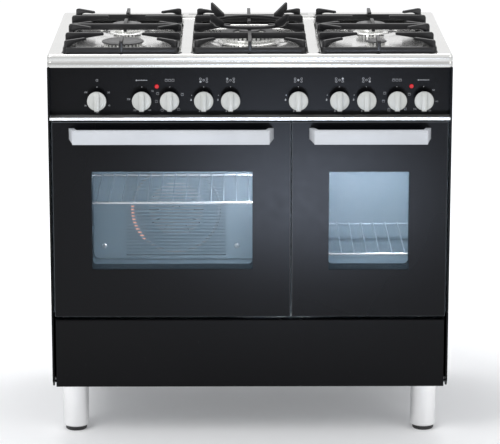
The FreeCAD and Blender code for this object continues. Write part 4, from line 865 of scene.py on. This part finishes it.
def addCup(bm, floor, cap):
    drop = burnerShape["cupDrop"]
    lap, hole = cap + burnerShape["cupLap"], cap - burnerShape["cupInset"]
    addTurned(bm, [
        (0, -drop), (hole - 0.010, -drop), (hole - 0.001, -0.0015), (hole - 0.001, 0), (lap, 0),
        (lap, 0.0008), (lap - 0.0008, 0.0016), (cap + 0.001, 0.0030), (0, 0.0030),
    ], facing(floor, "up"), burnerShape["cupSteps"])


def addCrown(bm, soot, base, cap, teeth, isWok):
    shape = burnerShape
    rim = cap - shape["headInset"]
    high = shape["headHeight"]
    low = high - shape["slotHeight"]
    inner = rim - shape["slotDeep"] + 0.0004
    profile = [(0, 0), (rim - 0.003, 0), (rim - 0.001, 0.0015), (rim, 0.004), (rim, low - 0.0006),
               (rim - 0.0006, low), (inner, low), (inner, high)]
    if isWok:
        hollow = shape["middleCap"] + shape["hollowReach"]
        post = shape["middleCap"] - shape["postInset"]
        bottom = shape["hollowFloor"]
        profile += [(hollow, high), (hollow, bottom), (post, bottom), (post, high)]
    profile.append((0, high))
    addTurned(bm, profile, facing(base, "up"), shape["ringSteps"])
    # a dark band just outside the crown wall paints the shade inside the flame slots
    dark = inner + shape["sootGap"]
    band = [(dark, low + 0.0001), (dark, high - 0.0001)]
    addTurned(soot, band, facing(base, "up"), shape["ringSteps"])
    addTeeth(bm, base, rim, teeth, low - 0.0004, high)
    if isWok:
        addTeeth(bm, base, shape["middleCap"] - 0.0008, shape["middleTeeth"], shape["middleSlotLow"], high)


def addCap(bm, top, cap):
    thick = burnerShape["capHeight"]
    addTurned(bm, [
        (0, 0), (cap - 0.001, 0), (cap, 0.001), (cap, thick - 0.0024), (cap - 0.0007, thick - 0.0014),
        (cap - 0.0035, thick - 0.0004), (cap * 0.80, thick), (cap * 0.775, thick - 0.0006),
        (cap * 0.75, thick + 0.0001), (cap * 0.4, thick + 0.0004), (0, thick + 0.0005),
    ], facing(top, "up"), burnerShape["ringSteps"])


def addWokCaps(bm, top, cap):
    # a ring over the outer flames and a small cap over the inner ones
    thick, small = burnerShape["capHeight"], burnerShape["middleCap"]
    hollow = small + burnerShape["hollowReach"] + 0.002
    addTurned(bm, [
        (hollow, 0), (cap - 0.001, 0), (cap, 0.001), (cap, thick - 0.0022), (cap - 0.0008, thick - 0.0012),
        (cap - 0.004, thick - 0.0003), (cap - 0.010, thick), (hollow + 0.004, thick),
        (hollow + 0.0008, thick - 0.0008), (hollow, thick - 0.002), (hollow, 0),
    ], facing(top, "up"), burnerShape["ringSteps"])
    addTurned(bm, [
        (0, 0), (small - 0.002, 0), (small - 0.002, thick * 0.6), (small - 0.0006, thick * 0.7),
        (small, thick), (small, thick * 2 - 0.0022), (small - 0.0014, thick * 2 - 0.0008),
        (small - 0.004, thick * 2), (0, thick * 2 + 0.0004),
    ], facing(top, "up"), burnerShape["cupSteps"])


def addPins(bm, floor, cap):
    # spark pin at the rear right, flame probe at the rear left
    shape = burnerShape
    radius, tall = shape["pinRadius"], shape["pinHeight"]
    foot, probe = shape["probeBase"], shape["probeRadius"]
    away = (cap + radius + shape["pinGap"]) * shape["diagonal"]
    addTurned(bm, [
        (0, 0), (radius * 1.35, 0), (radius * 1.35, 0.0035), (radius, 0.0045), (radius, tall - 0.003),
        (radius * 0.8, tall - 0.002), (radius * 0.35, tall - 0.002), (radius * 0.35, tall), (0, tall),
    ], facing(floor + Vector((away, away, 0)), "up"), shape["pinSteps"])
    addTurned(bm, [
        (0, 0), (foot, 0), (foot, 0.0030), (probe, 0.0035), (probe, tall - 0.001), (probe / 2, tall),
        (0, tall),
    ], facing(floor + Vector((-away, away, 0)), "up"), shape["pinSteps"])


def makeBurners():
    cups, crowns, caps, pins, soot = (bmesh.new() for _ in range(5))
    for name, (x, y, cap, teeth) in burnerSizes.items():
        floor = Vector((x, y, wellFloor))
        base = floor + Vector((0, 0, burnerShape["flange"]))
        top = base + Vector((0, 0, burnerShape["headHeight"]))
        addCup(cups, floor, cap)
        addCrown(crowns, soot, base, cap, teeth, name == "wok")
        if name == "wok":
            addWokCaps(caps, top, cap)
        else:
            addCap(caps, top, cap)
        addPins(pins, floor, cap)
    makePiece("burnerCups", cups, ["burnerAlloy"], "cooker", ["burner_cups"])
    makePiece("burnerCrowns", crowns, ["burnerAlloy"], "cooker", ["burner_heads"])
    # the painted shade behind the flame slots, in the cast iron look
    makePiece("burnerSoot", soot, ["castIron"], "cooker")
    makePiece("burnerCaps", caps, ["capEnamel"], "cooker", ["burner_caps"], sharpAngle=24)
    makePiece("sparkPins", pins, ["ceramic"], "cooker")


makeBurners()
print("burners made")


# Cast pan supports: a low frame with arched fingers that point at each burner

castShape = {
    "lift": 0.011,
    "barWidth": 0.010,
    "frameHeight": 0.014,
    "gap": 0.001,
    "corner": 0.012,
    "cornerSteps": 5,
    "top": 0.029,
    "thick": 0.0078,
    "tip": 0.0062,
    "shoulder": 0.005,
    "tipGap": 0.043,
    "frontMore": 0.008,
    "rearLess": 0.004,
    "cornerFinger": 0.060,
    "edge": 0.0014,
    "lean": 0.0006,
    "peg": 0.005,
    "pegSteps": 20,
    "root": 0.009,
    "archStart": 0.55,
    "archSteps": 8,
    "arches": {"side": 1.15, "end": 1.3, "corner": 2.4, "cross": 1.8, "wokSide": 1.2, "wokEnd": 2.0},
    "cornerTurn": 45,
    "crossTurn": 40,
}
wellFrontY = frontY + hobShape["wellFront"]
wellBackY = wellFrontY + hobShape["wellLength"]
castLow = wellFloor + castShape["lift"]
# each row of burners, the turn of the finger along its middle and where that finger starts
rowEnds = [(rowFront, 90, wellFrontY + castShape["gap"]), (rowBack, -90, wellBackY - castShape["gap"])]


def upright(x, y, degrees, z=None):
    # plate X runs along the finger, plate Y runs up
    place = Matrix.Translation((x, y, castLow if z is None else z))
    return place @ Matrix.Rotation(math.radians(degrees), 4, "Z") @ Matrix.Rotation(math.pi / 2, 4, "X")


def fingerOutline(length, arch):
    # flat top, rounded back and tip, and an underside that rises as an arch
    shape = castShape
    top, tip, root, curve = shape["top"], shape["tip"], shape["root"], shape["shoulder"]
    outline = [(0, 0), (0, top - curve), (curve * 0.3, top - curve * 0.3), (curve, top),
               (length - 0.002, top - 0.0004), (length, top - 0.002),
               (length, top - tip + 0.001), (length - 0.001, top - tip)]
    start = shape["frameHeight"] * shape["archStart"]
    steps = shape["archSteps"]
    for step in range(1, steps + 1):
        share = 1 - step / (steps + 1)
        lift = (1 - (1 - share) ** arch) ** (1 / arch)
        outline.append((root + (length - root) * share, start + (top - tip - start) * lift))
    outline += [(root, start), (root, 0)]
    return outline


def addFinger(bm, x, y, degrees, length, arch):
    outline = fingerOutline(length, castShape["arches"][arch])
    addPlate(bm, outline, castShape["thick"], upright(x, y, degrees), castShape["edge"])


def addFingerPair(bm, middle, reach, y, degrees, length, arch):
    # a finger from the left and its mirror image from the right
    addFinger(bm, middle - reach, y, degrees, length, arch)
    addFinger(bm, middle + reach, y, 180 - degrees, length, arch)


def addFrame(bm, middle, half):
    shape = castShape
    halfY = hobShape["wellLength"] / 2 - shape["gap"]
    centre = (middle, (wellFrontY + wellBackY) / 2)
    low, high, bar, edge = castLow, castLow + shape["frameHeight"], shape["barWidth"], shape["edge"]
    lean, near, far = shape["lean"], edge * 0.4, edge * 1.4
    sweepAround(bm, centre, (half, halfY), shape["corner"], [
        (far, low), (near, low + near), (0, low + far), (lean, high - far), (lean + near, high - near),
        (lean + far, high), (bar - far, high), (bar - near, high - near), (bar, high - far),
        (bar, low + edge), (bar - edge, low),
    ], shape["cornerSteps"])
    for sideX in (-1, 1):
        for sideY in (-1, 1):
            x = middle + sideX * (half - shape["corner"])
            y = centre[1] + sideY * (halfY - shape["corner"])
            pegTop = shape["lift"] + 0.002
            peg = [(0, 0.0004), (0.0038, 0.0004), (0.0044, 0.0012), (shape["peg"], pegTop), (0, pegTop)]
            addTurned(bm, peg, facing((x, y, wellFloor), "up"), shape["pegSteps"])


def addCorners(bm, middle, half):
    shape = castShape
    corner = shape["corner"] / 2
    for y, way in ((wellFrontY, 1), (wellBackY, -1)):
        spotY = y + way * (corner + shape["gap"])
        turn = way * shape["cornerTurn"]
        addFingerPair(bm, middle, half - corner, spotY, turn, shape["cornerFinger"], "corner")


def bridgeOutline(half):
    # bar level with the fingers, carried by the frame at both ends
    shape = castShape
    top, bar, curve = shape["top"], shape["barWidth"], shape["shoulder"]
    low = top - shape["frameHeight"]
    right = [(half - curve, top), (half - curve * 0.3, top - curve * 0.3), (half, top - curve), (half, 0),
             (half - bar, 0), (half - bar, low * 0.4), (half - bar * 1.3, low * 0.75), (half - bar * 2, low)]
    left = [(-u, v) for u, v in reversed(right)]
    return left + right


def tongueOutline():
    # short arm from a bar towards the next burner
    shape = castShape
    top = shape["top"]
    low = top - shape["frameHeight"]
    span = (rowBack - rowFront) / 2 - shape["tipGap"]
    return [(0, low - 0.006), (0, top), (span - 0.002, top), (span, top - 0.002), (span, top - shape["tip"]),
            (span * 0.3, low)]


def makeSideSupport(node, body, middle):
    shape = castShape
    half = sideWell - shape["gap"]
    bm = bmesh.new()
    addFrame(bm, middle, half)
    addPlate(bm, bridgeOutline(half), shape["barWidth"], upright(middle, rowMiddle, 0), shape["edge"])
    addPlate(bm, tongueOutline(), shape["thick"], upright(middle, rowMiddle, 90), shape["edge"])
    reach = half - shape["tipGap"]
    for row, turn, near in rowEnds:
        addFingerPair(bm, middle, half, row, 0, reach, "side")
        extra = shape["frontMore"] if turn > 0 else -shape["rearLess"]
        addFinger(bm, middle, near, turn, abs(row - near) - shape["tipGap"] + extra, "end")
    addCorners(bm, middle, half)
    corner = shape["corner"] / 2
    for turn in (shape["crossTurn"], -shape["crossTurn"]):
        addFingerPair(bm, middle, half - corner, rowMiddle, turn, shape["cornerFinger"], "cross")
    name = "panSupportLeft" if middle < 0 else "panSupportRight"
    makePiece(name, bm, ["castIron"], body, [node], sharpAngle=35)


def makeCentreSupport(node, body):
    shape = castShape
    half = centreWell - shape["gap"]
    thick = shape["thick"]
    bm = bmesh.new()
    addFrame(bm, 0, half)
    for row, turn, near in rowEnds:
        addPlate(bm, bridgeOutline(half), thick, upright(0, row, 0), shape["edge"])
        addPlate(bm, tongueOutline(), thick, upright(0, row, turn), shape["edge"])
        addFinger(bm, 0, near, turn, abs(row - near), "wokEnd")
    addFingerPair(bm, 0, half, rowMiddle, 0, half - shape["tipGap"], "wokSide")
    addCorners(bm, 0, half)
    makePiece("panSupportCentre", bm, ["castIron"], body, [node], sharpAngle=35)


cradleShape = {
    "steps": 96,
    "inner": 0.080,
    "outer": 0.091,
    "thick": 0.007,
    "edge": 0.0014,
    "fin": [(0.084, 0), (0.092, 0), (0.110, 0.007), (0.1215, 0.017), (0.124, 0.020), (0.124, 0.033),
            (0.1225, 0.036), (0.119, 0.0345), (0.086, 0.0155), (0.084, 0.013)],
    "finThick": 0.0062,
    "finEdge": 0.0012,
    "fins": 4,
    "firstFin": 45,
}


def makeCradle():
    shape = cradleShape
    base = lowHigh("wok_cradle")[0].z
    inner, outer, thick, edge = shape["inner"], shape["outer"], shape["thick"], shape["edge"]
    bm = bmesh.new()
    addTurned(bm, [
        (inner + edge, 0), (outer - edge, 0), (outer, edge), (outer, thick - edge), (outer - edge, thick),
        (inner + edge, thick), (inner, thick - edge), (inner, edge), (inner + edge, 0),
    ], facing((0, rowMiddle, base), "up"), shape["steps"])
    for k in range(shape["fins"]):
        turn = shape["firstFin"] + 360 / shape["fins"] * k
        addPlate(bm, shape["fin"], shape["finThick"], upright(0, rowMiddle, turn, base), shape["finEdge"])
    makePiece("wokCradle", bm, ["castIron"], "cradle", ["wok_cradle"], sharpAngle=35)


makeSideSupport("pan_support_left", "left_support", -wellX)
makeSideSupport("pan_support_right", "right_support", wellX)
makeCentreSupport("pan_support_centre", "centre_support")
makeCradle()
print("pan supports made")


# Oven shelves: bright rails with wires welded over them; the wires and the narrow oven's back rail take a
# darker bluish copy of the same chrome, painted shade with a painted reflection of the enamel walls

shelfShape = {
    "rail": 0.0030,
    "wire": 0.0014,
    "wireRise": 0.3,
    "overhang": 0.4,
    "pitch": 0.029,
    "railSteps": 16,
    "wireSteps": 10,
}


def makeShelf(node, body, backShadeSlot):
    shape = shelfShape
    low, high = lowHigh(node)
    rail, wire = shape["rail"], shape["wire"]
    bm = bmesh.new()
    left, right = low.x + rail, high.x - rail
    front, back = low.y + rail, high.y - rail
    z = low.z + rail
    for y in (front, back):
        addRod(bm, (left, y, z), (right, y, z), rail, shape["railSteps"])
    for x in (left, right):
        addRod(bm, (x, front, z), (x, back, z), rail, shape["railSteps"])
        for y in (front, back):
            addBall(bm, (x, y, z), rail, shape["railSteps"])
    middle = (low.x + high.x) / 2
    count = int((right - left) / shape["pitch"])
    top = z + rail + wire * shape["wireRise"]
    nose = front - rail * shape["overhang"]
    places = [middle + shape["pitch"] * (k - (count - 1) / 2) for k in range(count)]
    for x in places:
        for y in (nose, back):
            addBall(bm, (x, y, top), wire, shape["wireSteps"])
    bright = set(bm.faces)
    for x in places:
        addRod(bm, (x, nose, top), (x, back, top), wire, shape["wireSteps"])
    # the wires, and for the narrow oven also the back rail, take the darker bluish copy of the chrome:
    # painted shade with a painted reflection of the enamel walls
    for face in bm.faces:
        atBack = face.calc_center_median().y > back - rail
        face.material_index = (backShadeSlot if atBack else 0) if face in bright else 1
    makePiece(f"{body}Shelf", bm, ["shelfWire", "thinWire"], body, [node], sharpAngle=40)


makeShelf("main_shelf", "main_rack", 0)
makeShelf("second_shelf", "second_rack", 1)
print("shelves made")


# Fan heater: the left of its ring glows behind the slots

ringShape = {
    "radius": 0.105,
    "wire": 0.0037,
    "standOff": 0.030,
    "from": 172,
    "to": 224,
    "steps": 40,
    "wireSteps": 10,
}


def makeRingGlow():
    shape = ringShape
    spot = middleOf("oven_fan")
    y = lowHigh("fan_baffle")[0].y + shape["standOff"]
    bm = bmesh.new()
    path = []
    for step in range(shape["steps"] + 1):
        turn = math.radians(shape["from"] + (shape["to"] - shape["from"]) * step / shape["steps"])
        right, up = shape["radius"] * math.cos(turn), shape["radius"] * math.sin(turn)
        path.append((spot.x + right, y, spot.z + up))
    for start, end in zip(path, path[1:]):
        addRod(bm, start, end, shape["wire"], shape["wireSteps"])
    makePiece("ringGlow", bm, ["glowCoil"], "cooker")


makeRingGlow()
print("ring glow made")


# Small screws on the back cover and the oven baffle

screwShape = {
    "head": 0.0042,
    "steps": 20,
    "tall": 0.0020,
    "backRows": (0.16, 0.36, 0.60, 0.85),
    "backInset": 0.009,
    "backLift": 0.0001,
    "baffleHead": 0.0068,
    "baffleSpots": (-0.3480, -0.0290),
    "baffleRise": 0.032,
}


def addScrew(bm, centre, axis, radius):
    tall = screwShape["tall"] * radius / screwShape["head"]
    addTurned(bm, [(0, -0.0004), (radius, -0.0004), (radius, tall * 0.25), (radius * 0.8, tall * 0.75),
                   (radius * 0.45, tall), (radius * 0.16, tall * 1.02), (radius * 0.14, tall * 0.5),
                   (0, tall * 0.45)], facing(centre, axis), screwShape["steps"])


def makeScrews():
    bm = bmesh.new()
    low, high = lowHigh("back_panel")
    back = lowHigh("side_panel_left")[1].y + screwShape["backLift"]
    for z in screwShape["backRows"]:
        for x in (low.x + screwShape["backInset"], high.x - screwShape["backInset"]):
            addScrew(bm, (x, back, z), "back", screwShape["head"])
    makePiece("backScrews", bm, ["springSteel"], "cooker")
    bm = bmesh.new()
    low = lowHigh("fan_baffle")[0]
    for x in screwShape["baffleSpots"]:
        addScrew(bm, (x, low.y, low.z + screwShape["baffleRise"]), "front", screwShape["baffleHead"])
    makePiece("baffleScrews", bm, ["shelfWire"], "cooker")


makeScrews()
print("screws made")


# Stage, lamps and camera

stage = {
    "floorSize": 14.0,
    "floorLook": {"Base Color": (0.88, 0.88, 0.88, 1), "Roughness": 0.9, "Specular IOR Level": 0.0,
                  "Emission Color": (1, 1, 1, 1)},
    "whiter": {"From Min": 0.55, "From Max": 1.30, "To Min": 0.06, "To Max": 0.50},
    "worldLook": {"Color": (0.94, 0.96, 1.0, 1), "Strength": 0.66},
    "panelPlace": (0.18, -2.72, 0.03),
    "panelReach": (0.60, 1.12),
    "panelLight": 32.0,
    "panelColour": (0.69, 0.79, 1.00),
    "cameraPlace": (-0.0383, -5.620, 1.8823),
    "cameraPitch": 13.64,
    "cameraYaw": 0.39,
    "lens": 185.3,
    "sensor": 36.0,
}


def addSeenRays(nodes, links):
    # 1 for rays from the camera and for those that gloss and glass send on
    path = addNode(nodes, "LightPath")
    result = path.outputs["Is Camera Ray"]
    for label in ("Is Glossy Ray", "Is Transmission Ray"):
        larger = addNode(nodes, "Math", operation="MAXIMUM")
        links.new(result, larger.inputs[0])
        links.new(path.outputs[label], larger.inputs[1])
        result = larger.outputs["Value"]
    return result


def makeFloorMaterial():
    # seen directly the floor whitens away from the cooker; the shadow stays
    material = bpy.data.materials.new("paleFloor")
    material.use_nodes = True
    nodes, links = material.node_tree.nodes, material.node_tree.links
    shader = nodes["Principled BSDF"]
    setInputs(shader, stage["floorLook"])
    place = addNode(nodes, "TexCoord")
    away = addNode(nodes, "VectorMath", operation="LENGTH")
    whiter = addNode(nodes, "MapRange", stage["whiter"])
    whiter.interpolation_type = "SMOOTHSTEP"
    share = addNode(nodes, "Math", operation="MULTIPLY")
    links.new(addSeenRays(nodes, links), share.inputs[0])
    joinNodes(links, (place, "Object", away, 0), (away, "Value", whiter, "Value"),
              (whiter, "Result", share, 1), (share, "Value", shader, "Emission Strength"))
    return material


def makeStage():
    bm = bmesh.new()
    bmesh.ops.create_grid(bm, x_segments=1, y_segments=1, size=stage["floorSize"] / 2)
    materials["paleFloor"] = makeFloorMaterial()
    makePiece("floor", bm, ["paleFloor"], "stage")
    world = bpy.data.worlds.new("studio")
    bpy.context.scene.world = world
    world.use_nodes = True
    nodes, links = world.node_tree.nodes, world.node_tree.links
    light = nodes["Background"]
    setInputs(light, stage["worldLook"])
    white = addNode(nodes, "Background", {"Color": (1, 1, 1, 1)})
    mix = addNode(nodes, "MixShader")
    links.new(addSeenRays(nodes, links), mix.inputs["Fac"])
    joinNodes(links, (light, "Background", mix, 1), (white, "Background", mix, 2),
              (mix, "Shader", nodes["World Output"], "Surface"))


def makeSoftPanel():
    # low bluish panel in front of the cooker, brightest in its middle; only the gloss of the front shows it
    material = bpy.data.materials.new("softPanel")
    material.use_nodes = True
    nodes, links = material.node_tree.nodes, material.node_tree.links
    nodes.clear()
    place = addNode(nodes, "TexCoord")
    shift = addNode(nodes, "VectorMath", {1: stage["panelPlace"]}, "SUBTRACT")
    squeeze = addNode(nodes, "VectorMath", {1: (*stage["panelReach"], 1)}, "DIVIDE")
    away = addNode(nodes, "VectorMath", operation="LENGTH")
    fade = addNode(nodes, "MapRange", {"From Min": 1.0, "From Max": 0.0, "To Max": stage["panelLight"]})
    fade.interpolation_type = "SMOOTHERSTEP"
    glow = addNode(nodes, "Emission", {"Color": (*stage["panelColour"], 1)})
    clear = addNode(nodes, "BsdfTransparent")
    both = addNode(nodes, "AddShader")
    result = addNode(nodes, "OutputMaterial")
    joinNodes(links, (place, "Object", shift, 0), (shift, "Vector", squeeze, 0), (squeeze, "Vector", away, 0),
              (away, "Value", fade, "Value"), (fade, "Result", glow, "Strength"), (glow, "Emission", both, 0),
              (clear, "BSDF", both, 1), (both, "Shader", result, "Surface"))
    bm = bmesh.new()
    bmesh.ops.create_grid(bm, x_segments=1, y_segments=1, size=1.0)
    bmesh.ops.scale(bm, verts=bm.verts, vec=(*stage["panelReach"], 1))
    bmesh.ops.translate(bm, verts=bm.verts, vec=stage["panelPlace"])
    materials["softPanel"] = material
    panel = makePiece("softPanel", bm, ["softPanel"], "stage")
    panel.visible_camera = False
    panel.visible_diffuse = False
    panel.visible_shadow = False


# place, the point it faces, its two sides, power and colour
lampSettings = {
    "keyLamp": ((-2.2, -2.8, 3.0), (0, 0, 0.6), (1.8, 1.8), 75, (1, 1, 1)),
    "fillLamp": ((2.4, -2.6, 1.6), (0, 0, 0.5), (2.0, 2.0), 20, (1, 1, 1)),
    "topLamp": ((0, 0.8, 3.0), (0, 0, 0.9), (2.4, 1.6), 40, (1, 1, 1)),
    "mainOvenLight": ((0.025, -0.215, 0.662), (0.01, 0.12, 0.50), (0.06, 0.03), 3.2, (0.88, 0.93, 1.0)),
    "secondOvenLight": ((0.34, -0.215, 0.670), (0.31, 0.17, 0.56), (0.06, 0.03), 2.1, (0.88, 0.93, 1.0)),
}


def makeLamps():
    for name, (place, aim, size, power, colour) in lampSettings.items():
        light = bpy.data.lights.new(name, "AREA")
        light.shape = "RECTANGLE"
        light.size, light.size_y = size
        light.energy = power
        light.color = colour
        lamp = bpy.data.objects.new(name, light)
        lamp.location = place
        lamp.rotation_euler = (Vector(aim) - Vector(place)).to_track_quat("-Z", "Y").to_euler()
        lamp.visible_camera = False
        bpy.context.scene.collection.objects.link(lamp)


def makeCamera():
    data = bpy.data.cameras.new("camera")
    data.lens = stage["lens"]
    data.sensor_width = stage["sensor"]
    camera = bpy.data.objects.new("camera", data)
    camera.location = stage["cameraPlace"]
    camera.location.y += frontY
    camera.rotation_euler = (math.radians(90 - stage["cameraPitch"]), 0, -math.radians(stage["cameraYaw"]))
    bpy.context.scene.collection.objects.link(camera)
    bpy.context.scene.camera = camera


makeStage()
makeSoftPanel()
makeLamps()
makeCamera()
bpy.context.scene.view_settings.view_transform = "Standard"
print("stage made")
